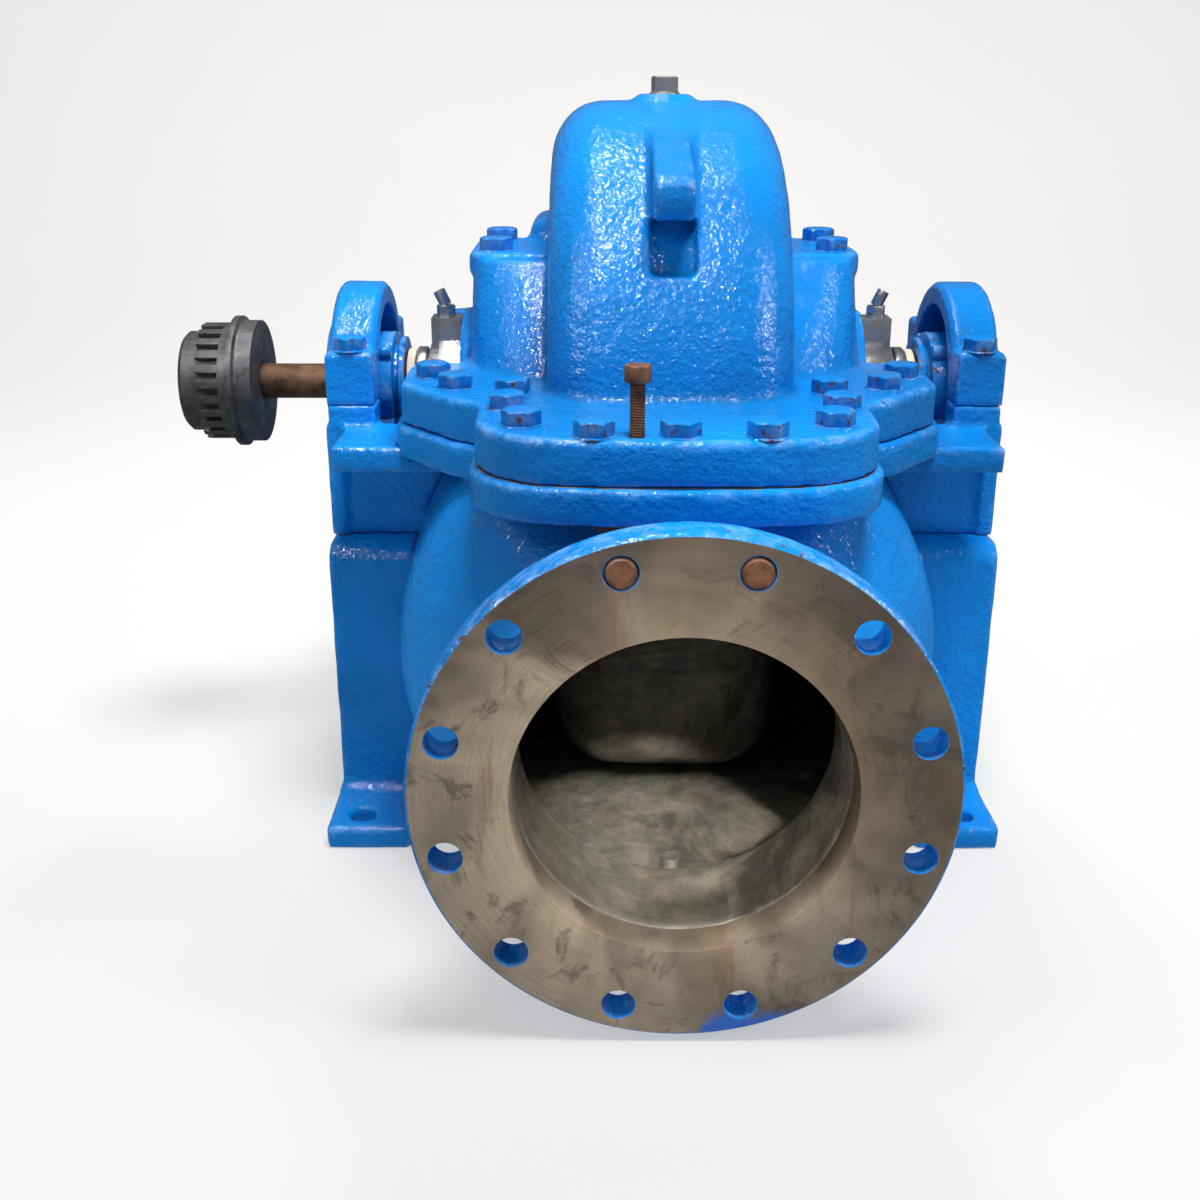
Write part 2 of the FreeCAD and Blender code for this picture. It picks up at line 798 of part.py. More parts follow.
# Bearing bracket on the +X side; the other is its mirror image.
def bearing_bracket(casing):
    saddle_top = split_plane
    ledge_top = split_plane - saddle_step
    inner = bracket_inner
    end_wall = box(bracket_outer - bracket_end_wall, bracket_outer + end_wall_reach, -saddle_half_depth,
                   saddle_half_depth, pedestal_top, ledge_top)
    saddle = box(saddle_inner, bracket_outer, -saddle_half_depth, saddle_half_depth,
                 ledge_top - ledge_thickness, saddle_top)
    pieces = [saddle]
    for side in (-1, 1):
        outer_y = side * bracket_web_outer
        inner_y = side * (bracket_web_outer - bracket_web_thickness)
        web = box(inner, bracket_outer - 1.0, min(outer_y, inner_y), max(outer_y, inner_y), pedestal_top,
                  ledge_top)
        reach_y = side * ledge_reach
        ledge = box(inner, ledge_outer, min(inner_y, reach_y), max(inner_y, reach_y),
                    ledge_top - ledge_thickness, ledge_top)
        pieces += [web, ledge]
    floor = box(inner, bracket_outer - 1.0, -bracket_web_outer, bracket_web_outer, pedestal_top,
                pedestal_top + bracket_floor_thickness)
    bracket = end_wall.fuse(pieces + [floor]).removeSplitter()
    seat = rod_x(cap_recess_radius, saddle_inner - 1.0, saddle_inner + cap_recess_depth)
    bore = rod_x(cartridge_radius + fit_clearance, saddle_inner, bracket_outer + end_wall_reach + 1.0)
    lower_ring = rod_x(cap_radius, saddle_inner, bracket_outer).common(
        box(saddle_inner, bracket_outer, -cap_radius, cap_radius, pedestal_top, split_plane))
    bracket = bracket.fuse(lower_ring).cut(seat.fuse(bore))
    for y in (-cap_bolt_y, cap_bolt_y):
        bracket = bracket.cut(rod_z(bolt_shank_radius + bolt_hole_clearance, split_plane - bolt_engagement,
                                    split_plane + 1.0, (saddle_inner + bracket_outer) / 2.0, y))
    return bracket.cut(casing).removeSplitter()


def bearing_cap():
    ring = rod_x(cap_radius, saddle_inner, bracket_outer)
    rims = edges_where(ring, lambda edge: edge.Length > cap_radius * 6.0)
    ring = ring.makeChamfer(cap_edge_bevel, rims)
    ears = box(saddle_inner, bracket_outer, -saddle_half_depth, saddle_half_depth, split_plane,
               split_plane + ear_height)
    uprights = edges_where(ears, lambda edge: edge_middle(edge).z > split_plane + ear_height - 1.0)
    ears = ears.makeFillet(ear_corner, uprights)
    above = box(saddle_inner - 1.0, bracket_outer + 1.0, -saddle_half_depth - 1.0, saddle_half_depth + 1.0,
                split_plane, split_plane + cap_radius + 1.0)
    cap = ring.fuse(ears).common(above)
    seat = rod_x(cap_recess_radius, saddle_inner - 1.0, saddle_inner + cap_recess_depth)
    bore = rod_x(cartridge_radius + fit_clearance, saddle_inner, bracket_outer + 1.0)
    cap = cap.cut(seat.fuse(bore))
    for y in (-cap_bolt_y, cap_bolt_y):
        spot = rod_z(cap_spot_radius, split_plane + ear_height, split_plane + cap_radius + 1.0,
                     (saddle_inner + bracket_outer) / 2.0, y)
        hole = rod_z(bolt_shank_radius + bolt_hole_clearance, split_plane - 1.0, split_plane + ear_height + 1.0,
                     (saddle_inner + bracket_outer) / 2.0, y)
        cap = cap.cut(spot.fuse(hole))
    return cap.removeSplitter()


def cap_bolts():
    places = [((saddle_inner + bracket_outer) / 2.0, y) for y in (-cap_bolt_y, cap_bolt_y)]
    return bolts_at(places, split_plane + ear_height, ear_height + bolt_engagement - 4.0)


def bearing_cartridge():
    seat_inner = saddle_inner + bearing_seat_offset
    bore = shaft_middle_radius + shaft_running_clearance
    seat = bearing_seat_radius + fit_clearance
    body = rod_x(cartridge_radius, saddle_inner + cap_recess_depth, cartridge_outer)
    cover_inner = cartridge_inner + cartridge_neck_length
    cover = rod_x(cartridge_cover_radius, cover_inner, saddle_inner + cap_recess_depth)
    neck = rod_x(cartridge_neck_radius, cartridge_ring_inner, cover_inner)
    ring = rod_x(cartridge_ring_radius, cartridge_ring_inner, cartridge_ring_inner + cartridge_ring_thickness)
    pieces = [cover, neck, ring]
    for step in range(cover_lug_count):
        angle = math.pi / 4.0 + 2.0 * math.pi * step / cover_lug_count
        y = cartridge_cover_radius * math.cos(angle)
        z = shaft_height + cartridge_cover_radius * math.sin(angle)
        pieces.append(rod_x(cover_lug_radius, cover_inner, saddle_inner + cap_recess_depth - cover_lug_step, y, z))
    solid = joined([body] + pieces)
    inner_bore = rod_x(bore, cartridge_ring_inner - 1.0, seat_inner + seat_clearance_length)
    return solid.cut(rod_x(seat, cartridge_ring_inner, cartridge_outer + 1.0).fuse(inner_bore)).removeSplitter()


def outer_cover(open_bore):
    cover = rod_x(outer_cover_radius, cartridge_outer, cartridge_outer + outer_cover_thickness)
    if open_bore:
        return cover.cut(rod_x(shaft_radius + 1.0, cartridge_outer - 1.0,
                               cartridge_outer + outer_cover_thickness + 1.0))
    return cover


# Foot pedestal on the +X side
def foot_pedestal(casing):
    column = box(pedestal_inner, pedestal_outer, -pedestal_half_depth, pedestal_half_depth, 0.0, pedestal_top)
    top_edges = edges_where(column, lambda edge: edge.BoundBox.XLength > 10.0
                            and edge_middle(edge).z > pedestal_top - 1.0)
    column = column.makeFillet(pedestal_top_radius, top_edges)
    hollow = box(pedestal_inner - 1.0, pedestal_outer - pedestal_wall, -pedestal_half_depth + pedestal_wall,
                 pedestal_half_depth - pedestal_wall, -1.0, pedestal_top - bracket_floor_thickness)
    sole = box(foot_inner, foot_outer, -foot_half_depth, foot_half_depth, 0.0, foot_thickness)
    corners = edges_where(sole, lambda edge: edge.BoundBox.ZLength > foot_thickness / 2.0)
    sole = sole.makeFillet(foot_corner, corners)
    pedestal = column.fuse(sole).removeSplitter()
    roots = edges_where(pedestal, lambda edge: edge.BoundBox.XLength > 40.0
                        and abs(edge_middle(edge).z - foot_thickness) < 0.1
                        and abs(abs(edge_middle(edge).y) - pedestal_half_depth) < 0.1)
    pedestal = pedestal.makeFillet(foot_root_radius, roots).cut(hollow)
    for y in (-foot_hole_y, foot_hole_y):
        pedestal = pedestal.cut(rod_z(foot_hole_radius, -1.0, foot_thickness + 1.0, foot_hole_x, y))
    return pedestal.cut(casing).removeSplitter()


# Seal gland at the +X side
def seal_gland():
    x0 = stuffing_box_face
    x1 = stuffing_box_face + gland_plate_thickness
    plate_disc = rod_x(gland_radius, x0, x1)
    pieces = []
    for y in (-gland_bolt_y, gland_bolt_y):
        pieces.append(rod_x(gland_ear_radius, x0, x0 + gland_ear_thickness, y))
        pieces.append(box(x0, x0 + gland_ear_thickness, min(0.0, y), max(0.0, y), shaft_height - gland_ear_radius,
                          shaft_height + gland_ear_radius))
    nose = rod_x(gland_radius - gland_nose_step, x1, x1 + gland_nose_length)
    block = box(x0 + flush_block_margin, x1 + gland_nose_length - flush_block_margin, -flush_block_half_width,
                flush_block_half_width, shaft_height + flush_block_bottom, shaft_height + flush_block_top)
    gland = joined([plate_disc, nose, block] + pieces)
    gland = gland.cut(rod_x(sleeve_radius + gland_bore_clearance, x0 - 1.0, x1 + gland_nose_length + 1.0))
    for y in (-gland_bolt_y, gland_bolt_y):
        gland = gland.cut(rod_x(gland_stud_hole_radius, x0 - 1.0, x0 + gland_ear_thickness + 1.0, y))
    return gland.removeSplitter()


def gland_bolts():
    nuts = []
    for y in (-gland_bolt_y, gland_bolt_y):
        nut = hexagon(gland_nut_flats, 0.0, gland_nut_height, 0.0, 0.0, 30.0)
        nut.rotate(Vector(0, 0, 0), Vector(0, 1, 0), 90.0)
        nut.translate(Vector(stuffing_box_face + gland_ear_thickness, y, shaft_height))
        stud = rod_x(gland_stud_radius, stuffing_box_face, stuffing_box_face + gland_stud_length, y)
        nuts.append(nut.fuse(stud).removeSplitter())
    return Part.makeCompound(nuts)


def flush_fitting():
    base = split_plane + flush_block_top
    x = stuffing_box_face + flush_fitting_offset
    nut = hexagon(flush_nut_flats, base, base + flush_nut_height, x, 0.0, 10.0)
    lean = math.radians(flush_tail_lean)
    tail = Part.makeCylinder(flush_tail_radius, flush_tail_length, Vector(x, 0.0, base + flush_nut_height),
                             Vector(math.sin(lean), 0.0, math.cos(lean)))
    return nut.fuse(tail).removeSplitter()


# Rotor: everything that turns about the shaft axis
def shaft():
    seat_inner = saddle_inner + bearing_seat_offset
    middle = rod_x(shaft_middle_radius, -seat_inner, seat_inner)
    seats = rod_x(bearing_seat_radius, -cartridge_outer, cartridge_outer)
    tail = rod_x(shaft_radius, -shaft_free_end, 0.0)
    bar = joined([middle, seats, tail])
    return bar.cut(key_slot())


def key_slot():
    return box(-shaft_free_end - 1.0, -shaft_free_end + key_length, -key_width / 2.0, key_width / 2.0,
               shaft_height + shaft_radius - key_height / 2.0, shaft_height + shaft_radius + key_height / 2.0)


def coupling_key():
    return box(-shaft_free_end + 2.0, -shaft_free_end + key_length, -key_width / 2.0, key_width / 2.0,
               shaft_height + shaft_radius - key_height / 2.0, shaft_height + shaft_radius + key_height / 2.0)


def coupling_hub():
    outline = [(hub_inner, 0.0), (hub_inner, hub_rim_radius), (hub_rim_start - hub_bead_width, hub_rim_radius),
               (hub_rim_start - hub_bead_width + hub_bead_bevel, hub_bead_radius),
               (hub_rim_start, hub_bead_radius),
               (hub_rim_start + hub_bead_bevel, hub_tooth_radius), (hub_tooth_end, hub_tooth_radius),
               (hub_tooth_end, hub_nose_radius), (hub_nose_end - hub_nose_bevel, hub_nose_radius),
               (hub_nose_end, hub_nose_radius - hub_nose_bevel), (hub_nose_end, 0.0)]
    corners = [Vector(-x, 0.0, shaft_height + radius) for x, radius in outline]
    face = Part.Face(Part.makePolygon(corners + corners[:1]))
    hub = face.revolve(axis_point, Vector(1, 0, 0), 360.0)
    cutters = [rod_x(shaft_radius + fit_clearance, -hub_nose_end - 1.0, -hub_inner + 1.0)]
    for step in range(hub_slot_count):
        slot = box(-hub_tooth_end - 1.0, -hub_tooth_start, -hub_slot_width / 2.0, hub_slot_width / 2.0,
                   shaft_height + hub_nose_radius, shaft_height + hub_tooth_radius + 2.0)
        slot.rotate(axis_point, Vector(1, 0, 0), 360.0 * step / hub_slot_count)
        cutters.append(slot)
    keyway = box(-hub_nose_end - 1.0, -hub_inner + 1.0, -key_width / 2.0 - fit_clearance,
                 key_width / 2.0 + fit_clearance, shaft_height,
                 shaft_height + shaft_radius + key_height / 2.0 + fit_clearance)
    return hub.cut(cutters[0]).cut(Part.makeCompound(cutters[1:])).cut(keyway).removeSplitter()


def impeller():
    half = impeller_half_width
    right = [(impeller_hub_half_length, shaft_middle_radius), (impeller_hub_half_length, impeller_hub_radius),
             (impeller_hub_root_x, impeller_hub_root_radius), (impeller_shroud / 2.0, impeller_radius)]
    outline = right + [(-x, radius) for x, radius in right[::-1]]
    corners = [Vector(x, 0.0, shaft_height + radius) for x, radius in outline]
    disc = Part.Face(Part.makePolygon(corners + corners[:1])).revolve(axis_point, Vector(1, 0, 0), 360.0)
    pieces = [disc]
    for side in (-1, 1):
        shroud = [(half - impeller_shroud, impeller_radius), (half, impeller_radius),
                  (half + impeller_shroud_flare, impeller_eye_radius + impeller_shroud),
                  (impeller_hub_half_length, impeller_eye_radius),
                  (impeller_hub_half_length, impeller_eye_radius - impeller_shroud),
                  (half + impeller_shroud_flare - impeller_shroud, impeller_eye_radius - 1.0)]
        corners = [Vector(side * x, 0.0, shaft_height + radius) for x, radius in shroud]
        ring = Part.Face(Part.makePolygon(corners + corners[:1]))
        pieces.append(ring.revolve(axis_point, Vector(1, 0, 0), 360.0))
    for step in range(impeller_vane_count):
        vane = box(-half + 1.0, half - 1.0, -impeller_vane_thickness / 2.0, impeller_vane_thickness / 2.0,
                   shaft_height + impeller_vane_inner, shaft_height + impeller_radius - impeller_vane_step)
        vane.rotate(Vector(0.0, 0.0, shaft_height + impeller_vane_inner), Vector(1, 0, 0), impeller_vane_lean)
        vane.rotate(axis_point, Vector(1, 0, 0), 360.0 * step / impeller_vane_count)
        pieces.append(vane)
    return joined(pieces)


def shaft_sleeve():
    tube = rod_x(sleeve_radius, impeller_hub_half_length + 0.5, sleeve_end)
    return tube.cut(rod_x(shaft_middle_radius + fit_clearance, impeller_hub_half_length, sleeve_end + 1.0))


def seal_collar():
    ring = rod_x(collar_radius, sleeve_end, sleeve_end + collar_thickness)
    return ring.cut(rod_x(shaft_middle_radius + fit_clearance, sleeve_end - 1.0,
                          sleeve_end + collar_thickness + 1.0))


def deflector():
    ring = rod_x(deflector_radius, deflector_from, deflector_from + deflector_thickness)
    return ring.cut(rod_x(shaft_middle_radius + fit_clearance, deflector_from - 1.0,
                          deflector_from + deflector_thickness + 1.0))


def save_pair(name, shape):
    save("left_" + name, mirrored_x(shape))
    save("right_" + name, shape)


def main():
    casing = lower_casing_outside()
    save("lower_casing", lower_casing(casing))
    save("upper_casing", upper_casing())
    save("casing_gasket", casing_gasket())
    save("suction_flange", suction_flange())
    save("discharge_flange", discharge_flange())
    front, rear = flange_bolt_places()
    bolt_length = upper_flange_thickness + lower_flange_thickness - 2.0
    save("front_flange_bolts", bolts_at(front, upper_flange_top, bolt_length))
    save("rear_flange_bolts", bolts_at(rear, upper_flange_top, bolt_length))
    save("pad_bolts", pad_bolts())
    save("jack_bolt", jack_bolt())
    save("vent_plug", vent_plug())
    save("drain_plug", drain_plug())
    save_pair("bearing_bracket", bearing_bracket(casing))
    save_pair("bearing_cap", bearing_cap())
    save_pair("bearing_cartridge", bearing_cartridge())
    save_pair("cap_bolts", cap_bolts())
    save("left_outer_cover", mirrored_x(outer_cover(True)))
    save("right_outer_cover", outer_cover(False))
    save_pair("pedestal", foot_pedestal(casing))
    save_pair("seal_gland", seal_gland())
    save_pair("gland_bolts", gland_bolts())
    save_pair("flush_fitting", flush_fitting())
    save("shaft", shaft())
    save("coupling_hub", coupling_hub())
    save("coupling_key", coupling_key())
    save("impeller", impeller())
    save_pair("shaft_sleeve", shaft_sleeve())
    save_pair("seal_collar", seal_collar())
    save_pair("deflector", deflector())


main()
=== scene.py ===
import bpy
import math
import random
import numpy as np
from mathutils import Matrix, Vector, noise
from mathutils.bvhtree import BVHTree


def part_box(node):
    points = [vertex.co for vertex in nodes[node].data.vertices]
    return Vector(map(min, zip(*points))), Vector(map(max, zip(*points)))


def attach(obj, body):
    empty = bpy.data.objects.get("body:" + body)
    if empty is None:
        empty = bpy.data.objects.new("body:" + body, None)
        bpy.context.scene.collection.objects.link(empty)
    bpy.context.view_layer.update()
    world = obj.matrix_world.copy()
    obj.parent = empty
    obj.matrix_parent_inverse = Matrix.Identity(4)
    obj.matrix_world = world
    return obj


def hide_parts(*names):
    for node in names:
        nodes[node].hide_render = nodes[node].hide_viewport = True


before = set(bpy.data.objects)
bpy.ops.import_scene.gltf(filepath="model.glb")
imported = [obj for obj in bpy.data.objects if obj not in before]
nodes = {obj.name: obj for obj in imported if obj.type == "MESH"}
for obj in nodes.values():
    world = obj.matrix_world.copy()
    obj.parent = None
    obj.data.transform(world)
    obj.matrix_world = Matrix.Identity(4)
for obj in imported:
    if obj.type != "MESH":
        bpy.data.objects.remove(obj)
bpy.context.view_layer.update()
rng = random.Random(11)

# Heights and places of the pump, in metres
SHAFT_Z = 0.410
NOZZLE_Z = 0.209
SUCTION_Y = -0.525
DISCHARGE_Y = 0.430
FLANGE_TOP = 0.446
PAD_TOP = 0.546
EAR_TOP = 0.460
UPPER_FLANGE = 0.036
LOWER_FLANGE = 0.031
LOWER_SPREAD = 1.0207
CARTRIDGE_END = 0.326
COVER_THINNING = 0.45
COVER_SHRINK = 0.93
VOLUTE_REACH = 0.250
HOOD_INSIDE = 0.668
KEEL_INSIDE = 0.048
BEARING_X = 0.238
SHAFT_HOLE = 0.036

# Nozzle flanges: the outside, bore and holes as radii, and the bolt circle across
SUCTION_FLANGE = {"radius": 0.2032, "bore": 0.127, "thickness": 0.0302, "circle": 0.36195,
                  "hole": 0.0127, "count": 12}
DISCHARGE_FLANGE = {"radius": 0.1715, "bore": 0.1016, "thickness": 0.0286, "circle": 0.2985,
                    "hole": 0.0111, "count": 8}


# Node helpers for the materials
class Shader:
    def __init__(self, name):
        self.material = bpy.data.materials.new(name)
        self.material.use_nodes = True
        self.tree = self.material.node_tree
        self.tree.nodes.clear()
        self.output = self.tree.nodes.new("ShaderNodeOutputMaterial")
        self.bsdf = self.tree.nodes.new("ShaderNodeBsdfPrincipled")
        self.tree.links.new(self.bsdf.outputs[0], self.output.inputs[0])
        coordinates = self.tree.nodes.new("ShaderNodeTexCoord")
        self.place = coordinates.outputs["Object"]
        self.bumps = None

    def put(self, socket, value):
        if isinstance(value, bpy.types.NodeSocket):
            self.tree.links.new(value, socket)
        elif isinstance(value, (tuple, list)) and len(value) == 3 and len(socket.default_value) == 4:
            socket.default_value = (*value, 1.0)
        else:
            socket.default_value = value

    def noise(self, scale, detail=4.0, rough=0.55, place=None, distortion=0.0):
        node = self.tree.nodes.new("ShaderNodeTexNoise")
        self.put(node.inputs["Vector"], place or self.place)
        node.inputs["Scale"].default_value = scale
        node.inputs["Detail"].default_value = detail
        node.inputs["Roughness"].default_value = rough
        node.inputs["Distortion"].default_value = distortion
        return node.outputs["Fac"]

    def ramp(self, value, low, high, to_low=0.0, to_high=1.0):
        node = self.tree.nodes.new("ShaderNodeMapRange")
        self.put(node.inputs["Value"], value)
        node.inputs["From Min"].default_value = low
        node.inputs["From Max"].default_value = high
        node.inputs["To Min"].default_value = to_low
        node.inputs["To Max"].default_value = to_high
        return node.outputs["Result"]

    def math(self, kind, first, second=0.0):
        node = self.tree.nodes.new("ShaderNodeMath")
        node.operation = kind
        self.put(node.inputs[0], first)
        self.put(node.inputs[1], second)
        return node.outputs[0]

    def mix(self, factor, first, second):
        node = self.tree.nodes.new("ShaderNodeMix")
        node.data_type = "RGBA"
        self.put(node.inputs["Factor"], factor)
        self.put(node.inputs[6], first)
        self.put(node.inputs[7], second)
        return node.outputs[2]

    def stretched(self, x, y, z):
        node = self.tree.nodes.new("ShaderNodeMapping")
        self.put(node.inputs["Vector"], self.place)
        node.inputs["Scale"].default_value = (x, y, z)
        return node.outputs[0]

    def split(self):
        node = self.tree.nodes.new("ShaderNodeSeparateXYZ")
        self.put(node.inputs[0], self.place)
        return node.outputs

    def join(self, x, y, z):
        node = self.tree.nodes.new("ShaderNodeCombineXYZ")
        self.put(node.inputs[0], x)
        self.put(node.inputs[1], y)
        self.put(node.inputs[2], z)
        return node.outputs[0]

    def attribute(self, name):
        node = self.tree.nodes.new("ShaderNodeAttribute")
        node.attribute_name = name
        return node.outputs["Fac"]

    def bump(self, height, distance, strength=1.0):
        node = self.tree.nodes.new("ShaderNodeBump")
        self.put(node.inputs["Height"], height)
        node.inputs["Distance"].default_value = distance
        node.inputs["Strength"].default_value = strength
        if self.bumps is not None:
            self.tree.links.new(self.bumps, node.inputs["Normal"])
        self.bumps = node.outputs[0]
        self.tree.links.new(self.bumps, self.bsdf.inputs["Normal"])

    def surface(self, colour, rough, metallic):
        self.put(self.bsdf.inputs["Base Color"], colour)
        self.put(self.bsdf.inputs["Roughness"], rough)
        self.put(self.bsdf.inputs["Metallic"], metallic)
        return self.material

    def round_marks(self, rings, turns, centre_z):
        # Place along the radius and round the nozzle axis, for turning marks
        x, y, z = self.split()
        up = self.math("SUBTRACT", z, centre_z)
        squares = self.math("ADD", self.math("MULTIPLY", x, x), self.math("MULTIPLY", up, up))
        radius = self.math("SQRT", squares)
        angle = self.math("ARCTAN2", up, x)
        return self.join(self.math("MULTIPLY", radius, rings), self.math("MULTIPLY", angle, turns), 0.0)


RUST = (0.16, 0.055, 0.022)


def enamel(name, deep, bright, chip_limit, lumps=1.0):
    # Thick glossy enamel brushed over rough castings, chipped to rusty iron here and there, with painted
    # shade in its corners and a painted highlight along its worn edges
    paint = Shader(name)
    wide = paint.noise(3.2, 3.0)
    colour = paint.mix(paint.ramp(wide, 0.35, 0.68), deep, bright)
    dull = paint.noise(26.0, 5.0, 0.62)
    colour = paint.mix(paint.ramp(dull, 0.30, 0.75, 0.0, 0.28), colour, tuple(0.62 * c for c in bright))
    edge = paint.attribute("edge")
    # Worn paint and painted highlight together: sharp edges are lightened towards a pale blue in noisy
    # patches
    thin_paint_and_highlight = paint.noise(62.0, 6.0, 0.68)
    rubbed_paint_and_highlight = paint.math("MULTIPLY", paint.ramp(edge, 0.25, 0.9), paint.ramp(thin_paint_and_highlight, 0.45, 0.72, 0.0, 0.45))
    colour = paint.mix(rubbed_paint_and_highlight, colour, tuple(0.35 + 0.5 * c for c in bright))
    # Painted shade: corners and creases are darkened towards the deep blue, where shade falls
    hollow_painted_shade = paint.ramp(edge, -0.15, -0.7, 0.0, 0.55)
    colour = paint.mix(hollow_painted_shade, colour, tuple(0.45 * c for c in deep))
    chips = paint.noise(95.0, 7.0, 0.72)
    patches = paint.noise(9.0, 2.0)
    chance = paint.math("ADD", chips, paint.math("MULTIPLY", edge, 0.10))
    chance = paint.math("ADD", chance, paint.math("MULTIPLY", patches, 0.16))
    mask = paint.ramp(chance, chip_limit, chip_limit + 0.012)
    rusty = paint.mix(paint.ramp(paint.noise(240.0, 4.0), 0.38, 0.62), (0.045, 0.032, 0.028), RUST)
    colour = paint.mix(mask, colour, rusty)
    streak = paint.noise(1.0, 5.0, 0.6, paint.stretched(34.0, 34.0, 3.2))
    colour = paint.mix(paint.ramp(streak, 0.62, 0.80, 0.0, 0.22), colour, (0.010, 0.045, 0.13))
    rough = paint.ramp(paint.noise(30.0, 4.0), 0.3, 0.7, 0.06, 0.14)
    rough = paint.math("MAXIMUM", rough, paint.math("MULTIPLY", mask, 0.82))
    paint.bump(paint.noise(15.0, 3.0, 0.5), 0.0028 * lumps, 0.5)
    paint.bump(paint.noise(70.0, 4.0, 0.5), 0.0016 * lumps, 0.8)
    paint.bump(paint.noise(170.0, 2.0, 0.6), 0.0018 * lumps, 0.9)
    paint.bump(paint.noise(330.0, 2.0, 0.6), 0.0005 * lumps, 0.7)
    paint.bump(mask, -0.00035, 0.8)
    paint.bsdf.inputs["IOR"].default_value = 1.42
    return paint.surface(colour, rough, 0.0)


def bare_face(name, centre_z):
    # Flange face turned to bright iron, since browned, stained and sprayed at its rim
    face = Shader(name)
    marks = face.noise(1.0, 5.0, 0.62, face.round_marks(900.0, 3.0, centre_z))
    clouds = face.noise(7.0, 5.0, 0.6, distortion=0.6)
    colour = face.mix(face.ramp(clouds, 0.34, 0.68), (0.150, 0.112, 0.080), (0.40, 0.33, 0.25))
    broad = face.noise(3.4, 3.0, 0.55, distortion=0.8)
    colour = face.mix(face.ramp(broad, 0.50, 0.60, 0.0, 0.75), colour, (0.105, 0.080, 0.060))
    colour = face.mix(face.ramp(broad, 0.46, 0.38, 0.0, 0.80), colour, (0.62, 0.51, 0.37))
    smears = face.noise(18.0, 6.0, 0.72, distortion=1.2)
    colour = face.mix(face.ramp(smears, 0.54, 0.62, 0.0, 0.65), colour, (0.080, 0.055, 0.038))
    colour = face.mix(face.ramp(marks, 0.36, 0.66, 0.0, 0.5), colour, (0.24, 0.20, 0.155))
    yellowed = face.noise(4.1, 4.0, 0.55, face.stretched(1.7, 1.0, 0.8))
    colour = face.mix(face.ramp(yellowed, 0.52, 0.70, 0.0, 0.60), colour, (0.40, 0.29, 0.17))
    streaks = face.noise(1.0, 5.0, 0.65, face.stretched(60.0, 10.0, 7.0))
    colour = face.mix(face.ramp(streaks, 0.58, 0.74, 0.0, 0.70), colour, (0.24, 0.11, 0.04))
    spots = face.noise(130.0, 5.0, 0.7)
    colour = face.mix(face.ramp(spots, 0.68, 0.74, 0.0, 0.8), colour, RUST)
    scratches = face.noise(1.0, 6.0, 0.7, face.stretched(6.0, 1.0, 210.0), 2.4)
    rough = face.ramp(marks, 0.3, 0.7, 0.30, 0.52)
    rough = face.math("ADD", rough, face.ramp(clouds, 0.3, 0.7, -0.08, 0.10))
    face.bump(marks, 0.00022, 0.45)
    face.bump(scratches, 0.00010, 0.35)
    face.bump(spots, 0.00012, 0.3)
    x, y, z = face.split()
    side = face.math("MULTIPLY", face.ramp(z, 0.052, 0.006), face.ramp(x, -0.06, 0.04))
    drift = face.noise(24.0, 6.0, 0.7)
    spray = face.ramp(face.math("ADD", side, drift), 0.92, 1.12)
    colour = face.mix(spray, colour, (0.013, 0.12, 0.50))
    metallic = face.ramp(spray, 0.0, 1.0, 0.40, 0.0)
    return face.surface(colour, rough, metallic)


def dark_iron(name, base=(0.085, 0.076, 0.062), dust=(0.36, 0.325, 0.265)):
    # Bare casting inside the nozzle, worn smooth by water, with dried scale
    iron = Shader(name)
    clouds = iron.noise(9.0, 6.0, 0.62, distortion=0.4)
    colour = iron.mix(iron.ramp(clouds, 0.36, 0.70), base, tuple(2.6 * c for c in base))
    dusty = iron.noise(38.0, 7.0, 0.72)
    colour = iron.mix(iron.ramp(dusty, 0.42, 0.70, 0.0, 0.75), colour, dust)
    flecks = iron.noise(340.0, 3.0, 0.6)
    colour = iron.mix(iron.ramp(flecks, 0.66, 0.72, 0.0, 0.7), colour, (0.42, 0.38, 0.33))
    browned = iron.noise(16.0, 5.0, 0.66)
    colour = iron.mix(iron.ramp(browned, 0.58, 0.72, 0.0, 0.6), colour, (0.15, 0.075, 0.035))
    grime = iron.noise(6.5, 6.0, 0.7, distortion=0.8)
    colour = iron.mix(iron.ramp(grime, 0.50, 0.62, 0.0, 0.8), colour, (0.040, 0.034, 0.027))
    rough = iron.ramp(clouds, 0.3, 0.7, 0.40, 0.68)
    iron.bump(iron.noise(22.0, 5.0, 0.6), 0.004, 0.5)
    iron.bump(iron.noise(170.0, 5.0, 0.62), 0.0007, 0.7)
    return iron.surface(colour, rough, 0.15)


def rusty_steel(name, deep=(0.060, 0.026, 0.015), bright=(0.25, 0.105, 0.048), metallic=0.35):
    rust = Shader(name)
    clouds = rust.noise(70.0, 7.0, 0.7)
    colour = rust.mix(rust.ramp(clouds, 0.34, 0.68), deep, bright)
    grains = rust.noise(520.0, 4.0, 0.6)
    colour = rust.mix(rust.ramp(grains, 0.56, 0.70, 0.0, 0.6), colour, (0.30, 0.16, 0.09))
    worn = rust.noise(30.0, 4.0, 0.6)
    colour = rust.mix(rust.ramp(worn, 0.58, 0.74, 0.0, 0.5), colour, (0.20, 0.17, 0.15))
    rough = rust.ramp(clouds, 0.3, 0.7, 0.42, 0.78)
    rust.bump(clouds, 0.0005, 0.6)
    rust.bump(grains, 0.00016, 0.7)
    return rust.surface(colour, rough, metallic)


